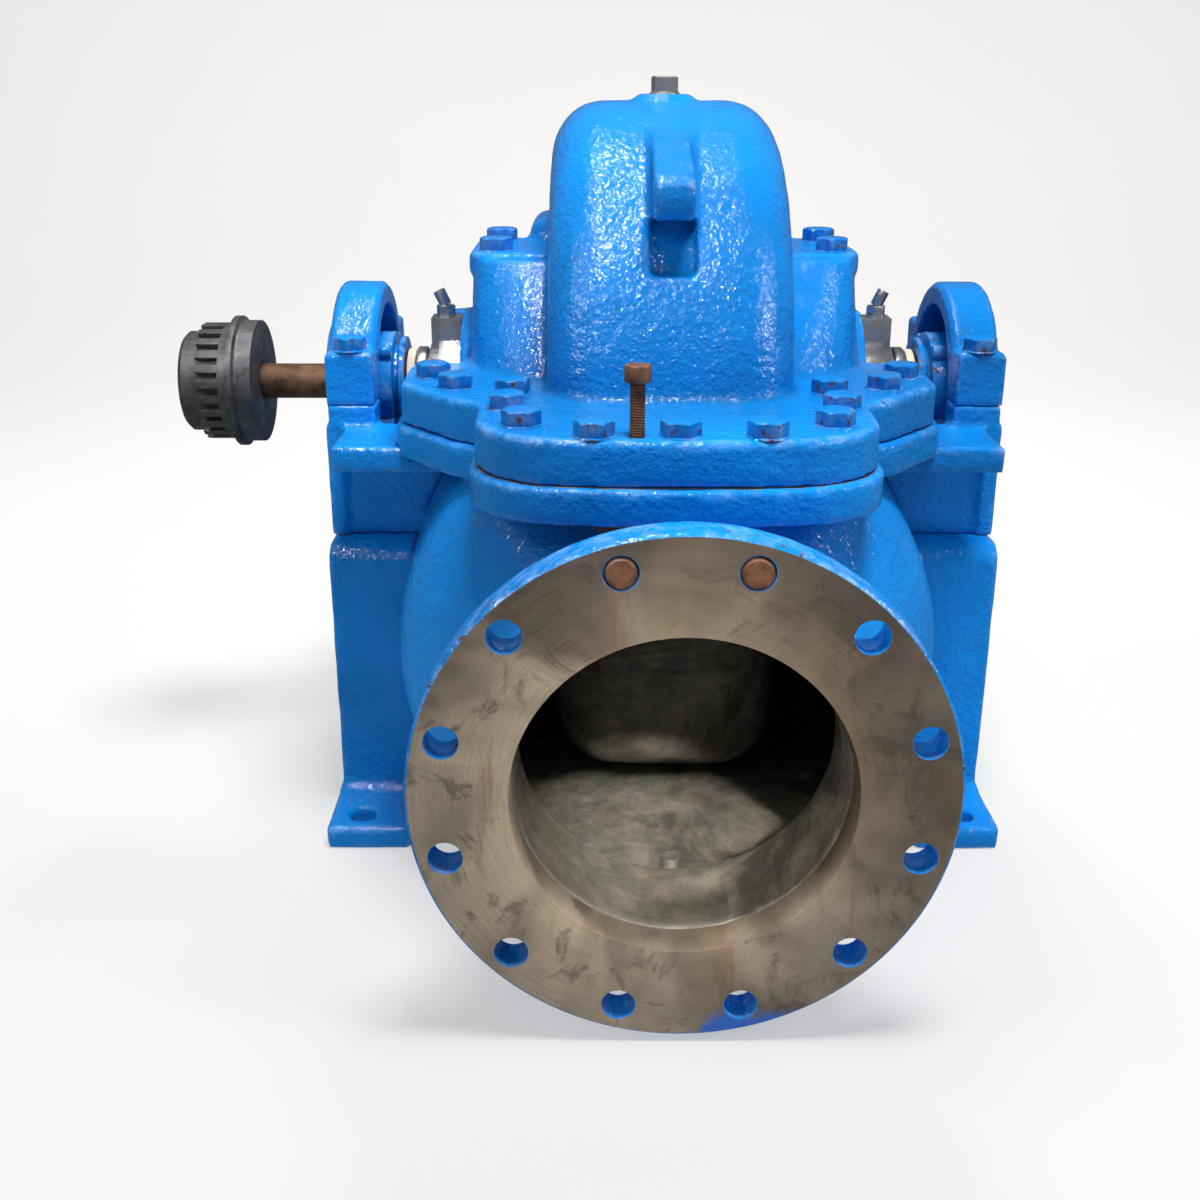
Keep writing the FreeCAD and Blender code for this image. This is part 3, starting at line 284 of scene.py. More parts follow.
def steel(name, base, worn, rough_low, rough_high, metallic=0.95, grain=0.00008):
    metal = Shader(name)
    clouds = metal.noise(28.0, 6.0, 0.62)
    colour = metal.mix(metal.ramp(clouds, 0.34, 0.68), base, worn)
    stains = metal.noise(90.0, 5.0, 0.7)
    colour = metal.mix(metal.ramp(stains, 0.62, 0.76, 0.0, 0.45), colour, tuple(0.32 * c for c in base))
    rough = metal.ramp(clouds, 0.3, 0.7, rough_low, rough_high)
    metal.bump(metal.noise(420.0, 4.0, 0.6), grain, 0.6)
    metal.bump(stains, grain * 2.0, 0.4)
    return metal.surface(colour, rough, metallic)


def rough_iron(name):
    # Machined grey iron of the coupling hub, dulled by handling
    iron = Shader(name)
    clouds = iron.noise(40.0, 6.0, 0.65)
    colour = iron.mix(iron.ramp(clouds, 0.34, 0.68), (0.055, 0.055, 0.056), (0.14, 0.14, 0.145))
    worn = iron.noise(120.0, 6.0, 0.7)
    colour = iron.mix(iron.ramp(worn, 0.58, 0.72, 0.0, 0.5), colour, (0.26, 0.25, 0.24))
    brown = iron.noise(22.0, 5.0, 0.6)
    colour = iron.mix(iron.ramp(brown, 0.60, 0.76, 0.0, 0.35), colour, (0.12, 0.065, 0.035))
    rough = iron.ramp(worn, 0.3, 0.7, 0.40, 0.66)
    iron.bump(iron.noise(180.0, 5.0, 0.6), 0.0006, 0.6)
    iron.bump(iron.noise(620.0, 3.0, 0.6), 0.00015, 0.6)
    return iron.surface(colour, rough, 0.65)


def soft(name, base, shade, rough=0.55):
    matter = Shader(name)
    clouds = matter.noise(60.0, 5.0, 0.6)
    colour = matter.mix(matter.ramp(clouds, 0.3, 0.72), base, shade)
    matter.bump(matter.noise(300.0, 4.0, 0.6), 0.0002, 0.5)
    return matter.surface(colour, matter.ramp(clouds, 0.3, 0.7, rough - 0.1, rough + 0.12), 0.0)


BLUE_DEEP = (0.004, 0.145, 0.44)
BLUE_BRIGHT = (0.004, 0.290, 0.86)
blue = enamel("blue_enamel_cast", BLUE_DEEP, BLUE_BRIGHT, 0.800)
blue_bolts = enamel("blue_enamel_bolts", BLUE_DEEP, tuple(0.75 * c for c in BLUE_BRIGHT), 0.762, 0.35)
face_iron = bare_face("suction_face_iron", NOZZLE_Z)
inside_iron = dark_iron("casting_inside")
rust = rusty_steel("rusty_bolt_steel")
shaft_metal = rusty_steel("shaft_brown_steel", (0.085, 0.045, 0.030), (0.24, 0.135, 0.085), 0.75)
plain = steel("plain_bright_steel", (0.42, 0.41, 0.40), (0.56, 0.55, 0.53), 0.24, 0.42)
stainless = steel("stainless_gland", (0.55, 0.55, 0.54), (0.70, 0.70, 0.69), 0.16, 0.34)
hub_iron = rough_iron("hub_grey_iron")
plug_metal = steel("plug_grey_steel", (0.23, 0.21, 0.19), (0.36, 0.34, 0.31), 0.36, 0.56, 0.8, 0.0002)
cream = soft("cream_ring", (0.62, 0.57, 0.46), (0.44, 0.39, 0.30))
fibre = soft("gasket_fibre", (0.012, 0.035, 0.075), (0.030, 0.055, 0.095), 0.8)
bronze = steel("impeller_bronze", (0.36, 0.22, 0.10), (0.44, 0.29, 0.15), 0.34, 0.55)


# Mesh helpers
def mesh_object(name, verts, faces, material, body, hidden=(), slot=None, smooth=35.0):
    mesh = bpy.data.meshes.new(name)
    mesh.from_pydata([tuple(v) for v in verts], [], [tuple(f) for f in faces])
    mesh.validate()
    mesh.update()
    return place(name, mesh, material, body, hidden, slot, smooth)


def place(name, mesh, material, body, hidden=(), slot=None, smooth=35.0):
    piece = bpy.data.objects.new(name, mesh)
    bpy.context.scene.collection.objects.link(piece)
    mesh.materials.clear()
    mesh.materials.append(material)
    shade(mesh, smooth)
    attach(piece, body)
    if hidden:
        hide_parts(*hidden)
    return piece


def shade(mesh, angle):
    mesh.polygons.foreach_set("use_smooth", [True] * len(mesh.polygons))
    if angle < 179.0:
        mesh.set_sharp_from_angle(angle=math.radians(angle))


def applied(mesh, modifiers):
    # A copy of the mesh with modifiers worked in
    holder = bpy.data.objects.new("holder", mesh)
    bpy.context.scene.collection.objects.link(holder)
    for kind, settings in modifiers:
        modifier = holder.modifiers.new(kind, kind)
        for key, value in settings.items():
            setattr(modifier, key, value)
    bpy.context.view_layer.update()
    graph = bpy.context.evaluated_depsgraph_get()
    result = bpy.data.meshes.new_from_object(holder.evaluated_get(graph))
    bpy.data.objects.remove(holder)
    return result


def node_mesh(*names):
    # One mesh with the faces of these CAD nodes
    verts = []
    faces = []
    for name in names:
        source = nodes[name].data
        start = len(verts)
        verts += [tuple(v.co) for v in source.vertices]
        faces += [tuple(start + i for i in p.vertices) for p in source.polygons]
    mesh = bpy.data.meshes.new("_".join(names))
    mesh.from_pydata(verts, [], faces)
    mesh.update()
    return mesh


def coordinates(mesh):
    flat = np.empty(len(mesh.vertices) * 3)
    mesh.vertices.foreach_get("co", flat)
    return flat.reshape(-1, 3)


def normals(mesh):
    flat = np.empty(len(mesh.vertices) * 3)
    mesh.vertices.foreach_get("normal", flat)
    return flat.reshape(-1, 3)


def edge_pairs(mesh):
    flat = np.empty(len(mesh.edges) * 2, dtype=np.int64)
    mesh.edges.foreach_get("vertices", flat)
    return flat.reshape(-1, 2)


def neighbour_mean(values, pairs, count):
    total = np.zeros((count,) + values.shape[1:])
    weight = np.zeros(count)
    np.add.at(total, pairs[:, 0], values[pairs[:, 1]])
    np.add.at(total, pairs[:, 1], values[pairs[:, 0]])
    np.add.at(weight, pairs[:, 0], 1.0)
    np.add.at(weight, pairs[:, 1], 1.0)
    weight = np.maximum(weight, 1.0)
    return total / (weight[:, None] if values.ndim > 1 else weight)


def write_edge(mesh, reach=3):
    # How sharply each point stands out: above nought on edges, below nought in corners
    points = coordinates(mesh)
    pairs = edge_pairs(mesh)
    offset = neighbour_mean(points, pairs, len(points)) - points
    step = np.linalg.norm(points[pairs[:, 0]] - points[pairs[:, 1]], axis=1).mean()
    bend = -(offset * normals(mesh)).sum(axis=1) / step * 3.0
    for _ in range(reach):
        bend = 0.5 * bend + 0.5 * neighbour_mean(bend, pairs, len(points))
    layer = mesh.attributes.get("edge") or mesh.attributes.new("edge", "FLOAT", "POINT")
    layer.data.foreach_set("value", np.clip(bend * 3.0, -1.0, 1.0).astype(np.float32))


def lumpy(mesh, scale, height, seed):
    # Slow unevenness of a sand casting
    points = coordinates(mesh)
    out = normals(mesh)
    shift = Vector((seed * 3.1, seed * 1.7, seed * 0.9))
    rise = np.array([noise.noise(Vector(p) * scale + shift) for p in points])
    points = points + out * rise[:, None] * height
    mesh.vertices.foreach_set("co", points.ravel())
    mesh.update()


def shoulder_webs(low, high, spread):
    # Metal between the shoulders and the lobes of the split flange, one web in each quarter
    outline = [(0.195, 0.150), (0.2408, 0.170), (0.2402, 0.1795), (0.2379, 0.1895), (0.2335, 0.1974),
               (0.1890, 0.2528), (0.1850, 0.2562), (0.1705, 0.2661), (0.1645, 0.2725), (0.1616, 0.2830),
               (0.148, 0.283), (0.148, 0.195)]
    verts = []
    faces = []
    for side_x, side_y in ((1, 1), (-1, 1), (-1, -1), (1, -1)):
        corners = [(side_x * spread * x, side_y * spread * y) for x, y in outline]
        if side_x * side_y < 0:
            corners.reverse()
        start = len(verts)
        count = len(corners)
        verts += [(x, y, low) for x, y in corners] + [(x, y, high) for x, y in corners]
        faces.append(tuple(start + i for i in range(count))[::-1])
        faces.append(tuple(start + count + i for i in range(count)))
        faces += [(start + i, start + (i + 1) % count, start + count + (i + 1) % count, start + count + i)
                  for i in range(count)]
    return verts, faces


def casting(name, node, voxel, ratio, rounds, seed, height=0.0006, more=None):
    # Casting with its edges and corners rounded off
    steps = [("REMESH", {"mode": "VOXEL", "voxel_size": voxel, "adaptivity": 0.0}),
             ("SMOOTH", {"factor": 0.5, "iterations": rounds}),
             ("DECIMATE", {"ratio": ratio})]
    form = node_mesh(node)
    if more:
        corners = [tuple(v.co) for v in form.vertices]
        sides = [tuple(p.vertices) for p in form.polygons]
        verts, faces = gathered([(corners, sides), more])
        form = bpy.data.meshes.new(name + "_form")
        form.from_pydata(verts, [], faces)
        form.update()
    mesh = applied(form, steps)
    lumpy(mesh, 38.0, height, seed)
    write_edge(mesh)
    return place(name, mesh, blue, "pump", [node], "blue_enamel", 180.0)


def machined(name, node, width, body, material, slot):
    # Machined piece with its edges broken
    steps = [("WELD", {"merge_threshold": 0.00001}),
             ("DECIMATE", {"decimate_type": "DISSOLVE", "angle_limit": math.radians(0.6)}),
             ("BEVEL", {"width": width, "segments": 2, "limit_method": "ANGLE",
                        "angle_limit": math.radians(32.0), "use_clamp_overlap": True}),
             ("TRIANGULATE", {})]
    mesh = applied(node_mesh(node), steps)
    write_edge(mesh, 0)
    return place(name, mesh, material, body, [node], slot, 32.0)


def ring_faces(rings, around, closed_start=True, closed_end=True):
    faces = []
    for ring in range(rings - 1):
        for step in range(around):
            a = ring * around + step
            b = ring * around + (step + 1) % around
            faces.append((a, b, b + around, a + around))
    if closed_start:
        faces.append(tuple(range(around))[::-1])
    if closed_end:
        faces.append(tuple((rings - 1) * around + i for i in range(around)))
    return faces


def hex_head(flats, head, around=60):
    # Bolt head with rounded corners, a coned chamfer and a slightly domed top
    half = flats / 2.0
    radii = []
    for step in range(around):
        turn = math.fmod(2.0 * math.pi * step / around, math.pi / 3.0) - math.pi / 6.0
        radii.append(min(half / math.cos(turn), half * 1.118))
    inner = half * 0.955
    rings = []
    rings.append([(r * 0.985, 0.0) for r in radii])
    rings.append([(r, flats * 0.02) for r in radii])
    rings.append([(r, head - (r - inner) * 0.58 - flats * 0.02) for r in radii])
    rings.append([(r - flats * 0.012, head - (r - inner) * 0.58) for r in radii])
    rings.append([(inner, head - flats * 0.006) for r in radii])
    rings.append([(inner * 0.95, head) for r in radii])
    rings.append([(inner * 0.5, head + flats * 0.008) for r in radii])
    verts = []
    for ring in rings:
        for step, (radius, height) in enumerate(ring):
            angle = 2.0 * math.pi * step / around
            verts.append((radius * math.cos(angle), radius * math.sin(angle), height))
    return verts, ring_faces(len(rings), around)


def revolved(profile, around, closed=False):
    # Profile points are (radius, height); closed runs the last ring back to the first.
    verts = []
    for radius, height in profile:
        for step in range(around):
            angle = 2.0 * math.pi * step / around
            verts.append((radius * math.cos(angle), radius * math.sin(angle), height))
    faces = ring_faces(len(profile), around, not closed, not closed)
    if closed:
        last = (len(profile) - 1) * around
        for step in range(around):
            after = (step + 1) % around
            faces.append((last + step, last + after, after, step))
    return verts, faces


def moved(verts, matrix):
    return [matrix @ Vector(v) for v in verts]


def gathered(groups):
    verts = []
    faces = []
    for some_verts, some_faces in groups:
        start = len(verts)
        verts += list(some_verts)
        faces += [tuple(start + i for i in f) for f in some_faces]
    return verts, faces


def edged(piece, reach=0):
    write_edge(piece.data, reach)
    return piece


# Castings of the casing
def paint_inside(piece, material):
    # Faces that look into the water passages are bare iron.
    mesh = piece.data
    mesh.materials.append(material)
    corners = [tuple(v.co) for v in shell.vertices]
    sides = [tuple(p.vertices) for p in shell.polygons]
    # Lids close the nozzles and the shaft holes, so that rays meet a wall wherever they go.
    turns = [step / 4.0 for step in range(25)]
    lids = [[(radius * math.cos(a), y, NOZZLE_Z + radius * math.sin(a)) for a in turns]
            for y, radius in ((SUCTION_Y + 0.004, 0.132), (DISCHARGE_Y - 0.004, 0.106))]
    lids += [[(x, SHAFT_HOLE * math.cos(a), SHAFT_Z + SHAFT_HOLE * math.sin(a)) for a in turns]
             for x in (-0.200, 0.200)]
    for lid in lids:
        sides.append(tuple(range(len(corners), len(corners) + len(lid))))
        corners += lid
    tree = BVHTree.FromPolygons(corners, sides)
    around = []
    for step in range(10):
        height = 1.0 - (step + 0.5) / 5.0
        turn = 2.399963 * step
        flat = math.sqrt(1.0 - height * height)
        around.append(Vector((flat * math.cos(turn), flat * math.sin(turn), height)))
    indices = np.zeros(len(mesh.polygons), dtype=np.int32)
    for polygon in mesh.polygons:
        centre = polygon.center
        radius = math.hypot(centre.x, centre.z - NOZZLE_Z)
        in_suction = centre.y < -0.40 and radius < SUCTION_FLANGE["bore"] + 0.0025
        in_discharge = centre.y > 0.30 and radius < DISCHARGE_FLANGE["bore"] + 0.0024
        if in_suction or in_discharge:
            indices[polygon.index] = 1
            continue
        if abs(centre.x) > BEARING_X or not KEEL_INSIDE <= centre.z <= HOOD_INSIDE:
            continue
        if centre.z > SHAFT_Z and math.hypot(centre.y, centre.z - SHAFT_Z) > VOLUTE_REACH:
            continue
        start = centre + polygon.normal * 0.004
        hits = 0
        for direction in around:
            towards = direction if direction.dot(polygon.normal) > 0 else -direction
            if tree.ray_cast(start, towards)[0] is not None:
                hits += 1
        if hits >= 9:
            indices[polygon.index] = 1
    mesh.polygons.foreach_set("material_index", indices)
    mesh.update()


shell = node_mesh("lower_casing", "upper_casing", "suction_flange", "discharge_flange")
lower_webs = shoulder_webs(SHAFT_Z - LOWER_FLANGE, SHAFT_Z - 0.0006, LOWER_SPREAD)
upper_webs = shoulder_webs(SHAFT_Z, SHAFT_Z + UPPER_FLANGE, 1.0)
casing_lower = casting("casing_lower_half", "lower_casing", 0.0042, 0.50, 3, 1, more=lower_webs)
casing_upper = casting("casing_upper_half", "upper_casing", 0.0036, 0.62, 3, 2, more=upper_webs)
paint_inside(casing_lower, inside_iron)
paint_inside(casing_upper, inside_iron)
for side, seed in (("left", 3), ("right", 5)):
    casting(side + "_bracket_casting", side + "_bearing_bracket", 0.0030, 0.5, 3, seed)
    casting(side + "_pedestal_casting", side + "_pedestal", 0.0034, 0.5, 3, seed + 1)
    casting(side + "_cap_casting", side + "_bearing_cap", 0.0020, 0.6, 2, seed + 2, 0.0004)


# Nozzle flanges: drilled rings whose faces were turned
def drilled_ring(name, node, face_y, outward, radius, bore, thickness, circle, hole, count):
    lip = 0.0022
    profile = [(bore, 0.0), (bore + 0.0006, thickness), (radius - lip, thickness), (radius, thickness - lip),
               (radius, lip), (radius - lip, 0.0)]
    verts, faces = revolved([(r, h) for r, h in profile], 192, True)
    blank = bpy.data.meshes.new(name + "_blank")
    blank.from_pydata(verts, [], faces)
    blank.update()
    groups = []
    for step in range(count):
        angle = 2.0 * math.pi * (step + 0.5) / count
        pin, pin_faces = revolved([(hole, -0.01), (hole, thickness + 0.01)], 48)
        shift = Matrix.Translation((circle / 2.0 * math.sin(angle), circle / 2.0 * math.cos(angle), 0.0))
        groups.append((moved(pin, shift), pin_faces))
    pins, pin_faces = gathered(groups)
    cutter_mesh = bpy.data.meshes.new(name + "_pins")
    cutter_mesh.from_pydata([tuple(v) for v in pins], [], pin_faces)
    cutter = bpy.data.objects.new(name + "_pins", cutter_mesh)
    bpy.context.scene.collection.objects.link(cutter)
    mesh = applied(blank, [("BOOLEAN", {"operation": "DIFFERENCE", "object": cutter, "solver": "EXACT"}),
                           ("BEVEL", {"width": 0.0009, "segments": 2, "limit_method": "ANGLE",
                                      "angle_limit": math.radians(50.0)}),
                           ("TRIANGULATE", {})])
    bpy.data.objects.remove(cutter)
    # The ring is drawn flat and stood up with its turned face at the end of the nozzle.
    turn = Matrix(((outward, 0, 0), (0, 0, outward), (0, 1, 0))).to_4x4()
    mesh.transform(Matrix.Translation((0.0, face_y - outward * thickness, NOZZLE_Z)) @ turn)
    mesh.update()
    if sum(p.center.dot(p.normal) * p.area for p in mesh.polygons) < 0.0:
        mesh.flip_normals()
        mesh.update()
    piece = place(name, mesh, blue, "pump", [node], "blue_enamel", 32.0)
    mesh.materials.append(face_iron)
    for polygon in mesh.polygons:
        spread = math.hypot(polygon.center.x, polygon.center.z - NOZZLE_Z)
        if abs(polygon.normal.y) > 0.99 and abs(polygon.center.y - face_y) < 0.0012:
            polygon.material_index = 1
        elif spread < bore + 0.0012:
            polygon.material_index = 1
    edged(piece)
    return piece


drilled_ring("suction_flange_ring", "suction_flange", SUCTION_Y, -1.0, **SUCTION_FLANGE)
drilled_ring("discharge_flange_ring", "discharge_flange", DISCHARGE_Y, 1.0, **DISCHARGE_FLANGE)


# Hexagon bolts painted over together with the castings
def node_islands(name):
    # Middle and lowest height of every solid of a CAD node
    mesh = nodes[name].data
    parent = list(range(len(mesh.vertices)))

    def root(i):
        while parent[i] != i:
            parent[i] = parent[parent[i]]
            i = parent[i]
        return i

    lookup = {}
    for vertex in mesh.vertices:
        key = tuple(round(c, 6) for c in vertex.co)
        if key in lookup:
            parent[root(vertex.index)] = root(lookup[key])
        else:
            lookup[key] = vertex.index
    for edge in mesh.edges:
        parent[root(edge.vertices[0])] = root(edge.vertices[1])
    groups = {}
    for vertex in mesh.vertices:
        groups.setdefault(root(vertex.index), []).append(vertex.co)
    spans = []
    for group in groups.values():
        low = Vector([min(c[i] for c in group) for i in range(3)])
        high = Vector([max(c[i] for c in group) for i in range(3)])
        spans.append(((low + high) / 2.0, low.z))
    return sorted(spans, key=lambda span: (round(span[0].x, 4), round(span[0].y, 4)))


def bolt_heads(name, node, seat):
    # A head, the paint gathered round its foot and a shank in each place of the node
    flats = 0.0286
    head = 0.0127
    shank_radius = 0.0095
    foot = [(0.0170, -0.0004), (0.0166, 0.0006), (0.0146, 0.0011), (0.0120, 0.0012)]
    groups = []
    for middle, bottom in node_islands(node):
        turn = math.radians(math.fmod(abs(middle.x * 7300.0 + middle.y * 3100.0), 60.0))
        verts, faces = hex_head(flats, head * rng.uniform(0.97, 1.02))
        stand = Matrix.Translation((middle.x, middle.y, seat))
        groups.append((moved(verts, stand @ Matrix.Rotation(turn, 4, "Z")), faces))
        collar, collar_faces = revolved(foot, 40)
        groups.append((moved(collar, stand), collar_faces))
        shank, shank_faces = revolved([(shank_radius, bottom - seat), (shank_radius, 0.0)], 24)
        groups.append((moved(shank, stand), shank_faces))
    verts, faces = gathered(groups)
    return edged(mesh_object(name, verts, faces, blue_bolts, "pump", [node], "blue_enamel", 28.0))


bolt_heads("front_flange_hex_bolts", "front_flange_bolts", FLANGE_TOP)
bolt_heads("rear_flange_hex_bolts", "rear_flange_bolts", FLANGE_TOP)
bolt_heads("pad_hex_bolts", "pad_bolts", PAD_TOP)
bolt_heads("left_cap_hex_bolts", "left_cap_bolts", EAR_TOP)
bolt_heads("right_cap_hex_bolts", "right_cap_bolts", EAR_TOP)


# Threads
def threaded_rod(radius, pitch, start, finish, around=28):
    # Rod along Z whose surface winds as a screw thread
    rows = int((finish - start) / pitch * 6.0)
    verts = []
    for row in range(rows + 1):
        height = start + (finish - start) * row / rows
        for step in range(around):
            angle = 2.0 * math.pi * step / around
            wave = abs(math.fmod(height / pitch + step / around + 50.0, 1.0) - 0.5) * 2.0
            depth = radius - 0.55 * pitch * min(1.0, wave * 1.25)
            verts.append((depth * math.cos(angle), depth * math.sin(angle), height))
    return verts, ring_faces(rows + 1, around)


# Rusty jack bolt in the front lobe
def jack_screw():
    rod = nodes["jack_bolt"].data
    xs = [v.co.x for v in rod.vertices]
    ys = [v.co.y for v in rod.vertices]
    middle = ((min(xs) + max(xs)) / 2.0, (min(ys) + max(ys)) / 2.0)
    head, head_faces = hex_head(0.019, 0.013)
    lift = Matrix.Translation((0, 0, FLANGE_TOP + 0.041)) @ Matrix.Rotation(0.2, 4, "Z")
    thread = threaded_rod(0.0064, 0.0021, FLANGE_TOP - 0.004, FLANGE_TOP + 0.0412)
    verts, faces = gathered([(moved(head, lift), head_faces), thread])
    verts = moved(verts, Matrix.Translation((middle[0], middle[1], 0.0)))
    return mesh_object("rusty_jack_bolt", verts, faces, rust, "pump", ["jack_bolt"], "rusty_steel", 40.0)


jack_screw()


# Studs left in the two upper holes of the suction flange
def stud(name, step):
    angle = 2.0 * math.pi * (step + 0.5) / SUCTION_FLANGE["count"]
    x = SUCTION_FLANGE["circle"] / 2.0 * math.sin(angle)
    z = NOZZLE_Z + SUCTION_FLANGE["circle"] / 2.0 * math.cos(angle)
    end = [(0.0112, 0.0), (0.0112, 0.0310), (0.0098, 0.0326), (0.0060, 0.0328)]
    verts, faces = revolved(end, 40)
    thread, thread_faces = threaded_rod(0.0119, 0.0024, 0.0, 0.0305)
    verts, faces = gathered([(verts, faces), (thread, thread_faces)])
    stand = Matrix.Translation((x, SUCTION_Y + 0.0316, z - 0.0006))
    stand = stand @ Matrix.Rotation(math.radians(90.0), 4, "X")
    return mesh_object(name, moved(verts, stand), faces, rust, "pump", (), "rusty_steel", 40.0)


stud("suction_stud_left", -1)
stud("suction_stud_right", 0)


# Square plug in the boss of the hood
def vent():
    low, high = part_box("vent_plug")
    half = 0.0110
    top = high[2]
    seat = top - 0.016
    square = []
    for size, height in ((half, seat + 0.0016), (half, top - 0.0012), (half - 0.0012, top)):
        square += [(size, size, height), (-size, size, height), (-size, -size, height), (size, -size, height)]
    square = moved(square, Matrix.Rotation(math.radians(8.0), 4, "Z"))
    foot = [(0.0148, seat - 0.0004), (0.0144, seat + 0.0010),
            (0.0128, seat + 0.0022), (0.0080, seat + 0.0024)]
    verts, faces = gathered([(square, ring_faces(3, 4)), revolved(foot, 36)])
    piece = mesh_object("square_vent_plug", verts, faces, plug_metal, "pump", ["vent_plug"], "plain_steel",
                        30.0)
    piece.data.polygons.foreach_set("use_smooth", [True] * len(piece.data.polygons))
    return piece


vent()

# Machined pieces that keep the form of the frame
for side in ("left", "right"):
    machined(side + "_bearing_housing", side + "_bearing_cartridge", 0.0010, "pump", blue_bolts,
             "blue_enamel")
    cover = machined(side + "_end_cover", side + "_outer_cover", 0.0010, "pump", blue_bolts, "blue_enamel")
    for vertex in cover.data.vertices:
        x, y, z = vertex.co
        depth = CARTRIDGE_END + COVER_THINNING * (abs(x) - CARTRIDGE_END)
        vertex.co = (math.copysign(depth, x), COVER_SHRINK * y, SHAFT_Z + COVER_SHRINK * (z - SHAFT_Z))
    for piece, node, width, body, material, slot in (
            ("_gland_plate", "_seal_gland", 0.0007, "pump", stainless, "stainless_steel"),
            ("_gland_nuts", "_gland_bolts", 0.0004, "pump", plain, "plain_steel"),
            ("_flush_tail", "_flush_fitting", 0.0004, "pump", plain, "plain_steel"),
            ("_rotor_sleeve", "_shaft_sleeve", 0.0004, "rotor", plain, "stainless_steel"),
            ("_rotor_collar", "_seal_collar", 0.0006, "rotor", plain, "stainless_steel"),
            ("_rotor_deflector", "_deflector", 0.0010, "rotor", cream, "cream_rubber")):
        machined(side + piece, side + node, width, body, material, slot)
machined("coupling_hub_iron", "coupling_hub", 0.0006, "rotor", hub_iron, "hub_iron")
machined("coupling_key_steel", "coupling_key", 0.0003, "rotor", shaft_metal, "shaft_steel")
machined("rotor_shaft", "shaft", 0.0006, "rotor", shaft_metal, "shaft_steel")
machined("drain_plug_square", "drain_plug", 0.0006, "pump", plug_metal, "plain_steel")


def dress(name, material):
    node = nodes[name]
    node.data.materials.clear()
    node.data.materials.append(material)


dress("impeller", bronze)
dress("casing_gasket", fibre)


# Pale studio: a floor that curves up behind, soft lamps all round and small lamps for the gloss
def studio():
    stuff = Shader("studio_paper")
    x, y, z = stuff.split()
    # Painted shade: the paper is darker near the camera and low down, where the lamps light it most, and
    # lighter far back and up the curve
    paper_painted_shade = stuff.math("ADD", stuff.ramp(y, -0.7, 3.2, 0.0, 0.55), stuff.ramp(z, 0.1, 1.8, 0.0, 0.45))
    paper_painted_shade = stuff.math("ADD", paper_painted_shade, stuff.ramp(stuff.noise(0.7, 2.0), 0.3, 0.7, -0.03, 0.03))
    colour = stuff.mix(paper_painted_shade, (0.27, 0.268, 0.264), (0.72, 0.717, 0.710))
    stuff.put(stuff.bsdf.inputs["Emission Color"], (1.0, 0.99, 0.975))
    stuff.bsdf.inputs["Emission Strength"].default_value = 0.46
    paper = stuff.surface(colour, 0.9, 0.0)
    rows = [(-4.0, 0.0), (1.8, 0.0)]
    for step in range(1, 13):
        angle = math.pi / 2.0 * step / 12
        rows.append((1.8 + 2.2 * math.sin(angle), 2.2 * (1.0 - math.cos(angle))))
    rows.append((4.0, 6.0))
    verts = []
    for y, z in rows:
        verts += [(-7.0, y, z), (7.0, y, z)]
    faces = [(2 * i, 2 * i + 1, 2 * i + 3, 2 * i + 2) for i in range(len(rows) - 1)]
    mesh = bpy.data.meshes.new("studio_floor")
    mesh.from_pydata(verts, [], faces)
    mesh.materials.append(paper)
    mesh.update()
    shade(mesh, 180.0)
    floor = bpy.data.objects.new("studio_floor", mesh)
    bpy.context.scene.collection.objects.link(floor)
    floor.visible_glossy = False


def softbox(name, place_at, look_at, width, height, power, colour=(1.0, 1.0, 1.0), spread=180.0):
    light = bpy.data.lights.new(name, "AREA")
    light.shape = "RECTANGLE"
    light.size = width
    light.size_y = height
    light.energy = power
    light.color = colour
    light.spread = math.radians(spread)
    lamp = bpy.data.objects.new(name, light)
    lamp.location = place_at
    lamp.rotation_euler = (Vector(look_at) - Vector(place_at)).to_track_quat("-Z", "Y").to_euler()
    bpy.context.scene.collection.objects.link(lamp)
    return lamp


def sparkle(name, place_at, width, height, power):
    # Small lamp that shows only in the gloss
    lamp = softbox(name, place_at, (0.0, -0.2, 0.4), width, height, power)
    lamp.visible_diffuse = False


studio()
softbox("rear_light", (0.1, 1.5, 2.5), (0.0, 0.0, 0.2), 0.7, 0.4, 30.0).visible_glossy = False
softbox("ceiling_light", (0.3, -0.7, 2.9), (0.0, 0.0, 0.3), 0.9, 0.7, 94.0).visible_glossy = False
softbox("front_light", (-0.7, -2.6, 2.1), (0.0, 0.0, 0.3), 0.5, 0.4, 8.0).visible_glossy = False
softbox("right_light", (2.3, -1.1, 1.9), (0.0, 0.0, 0.3), 0.4, 1.0, 11.0).visible_glossy = False
softbox("left_light", (-2.3, -0.2, 2.1), (0.0, 0.0, 0.3), 0.4, 1.0, 12.0).visible_glossy = False
softbox("bore_light", (0.15, -2.2, 1.62), (0.0, -0.525, 0.23), 0.12, 0.12, 0.28, (1.0, 0.97, 0.92), 7.0)
sparkle("ceiling_gloss", (-0.45, -0.9, 2.6), 0.50, 0.14, 46.0)
sparkle("front_gloss", (-0.55, -2.3, 2.3), 0.30, 0.14, 15.0)
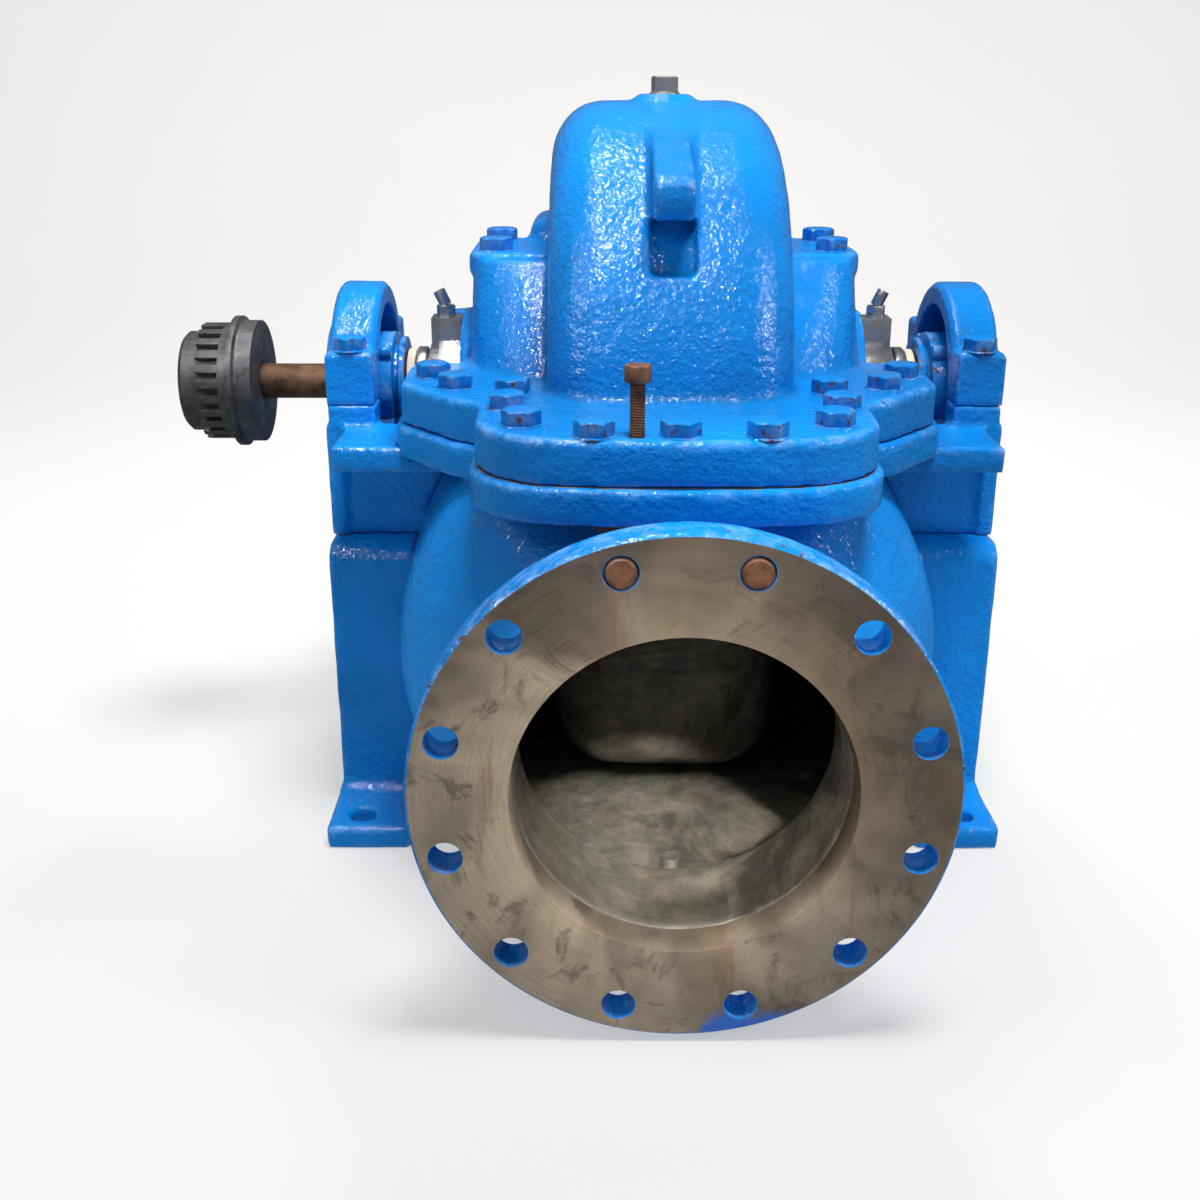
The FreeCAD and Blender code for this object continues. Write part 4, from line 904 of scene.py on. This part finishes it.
sparkle("right_gloss", (1.9, -1.0, 1.5), 0.10, 0.9, 22.0)
sparkle("left_gloss", (-1.9, -1.3, 1.8), 0.10, 0.8, 20.0)
sparkle("rear_gloss", (-0.3, 0.3, 2.6), 0.40, 0.12, 22.0)


# Pale surroundings that show dimmer in the gloss of the enamel than they light it
def surroundings():
    world = bpy.data.worlds.new("pale_room")
    bpy.context.scene.world = world
    world.use_nodes = True
    tree = world.node_tree
    fill = tree.nodes["Background"]
    fill.inputs[0].default_value = (0.92, 0.93, 0.95, 1.0)
    fill.inputs[1].default_value = 0.22
    seen = tree.nodes.new("ShaderNodeBackground")
    seen.inputs[0].default_value = (0.80, 0.86, 1.0, 1.0)
    seen.inputs[1].default_value = 0.16
    ray = tree.nodes.new("ShaderNodeLightPath")
    blend = tree.nodes.new("ShaderNodeMixShader")
    tree.links.new(ray.outputs["Is Glossy Ray"], blend.inputs[0])
    tree.links.new(fill.outputs[0], blend.inputs[1])
    tree.links.new(seen.outputs[0], blend.inputs[2])
    tree.links.new(blend.outputs[0], tree.nodes["World Output"].inputs["Surface"])


surroundings()


# Camera at the place that the photograph was taken from
def camera():
    yaw = -0.0008
    pitch = 0.353
    roll = math.radians(0.09)
    forward = Vector((-math.sin(yaw) * math.cos(pitch), math.cos(yaw) * math.cos(pitch), -math.sin(pitch)))
    right = Vector((math.cos(yaw), math.sin(yaw), 0.0))
    up = right.cross(forward)
    turned_right = math.cos(roll) * right + math.sin(roll) * up
    turned_up = -math.sin(roll) * right + math.cos(roll) * up
    lens = bpy.data.cameras.new("photo_camera")
    lens.sensor_width = 36.0
    lens.lens = 1407.7 / 1200.0 * 36.0
    lens.clip_end = 50.0
    eye = bpy.data.objects.new("photo_camera", lens)
    rotation = Matrix((turned_right, turned_up, -forward)).transposed().to_4x4()
    eye.matrix_world = Matrix.Translation((-0.062, -1.430, 0.698)) @ rotation
    bpy.context.scene.collection.objects.link(eye)
    bpy.context.scene.camera = eye


camera()
bpy.context.scene.view_settings.view_transform = "Standard"
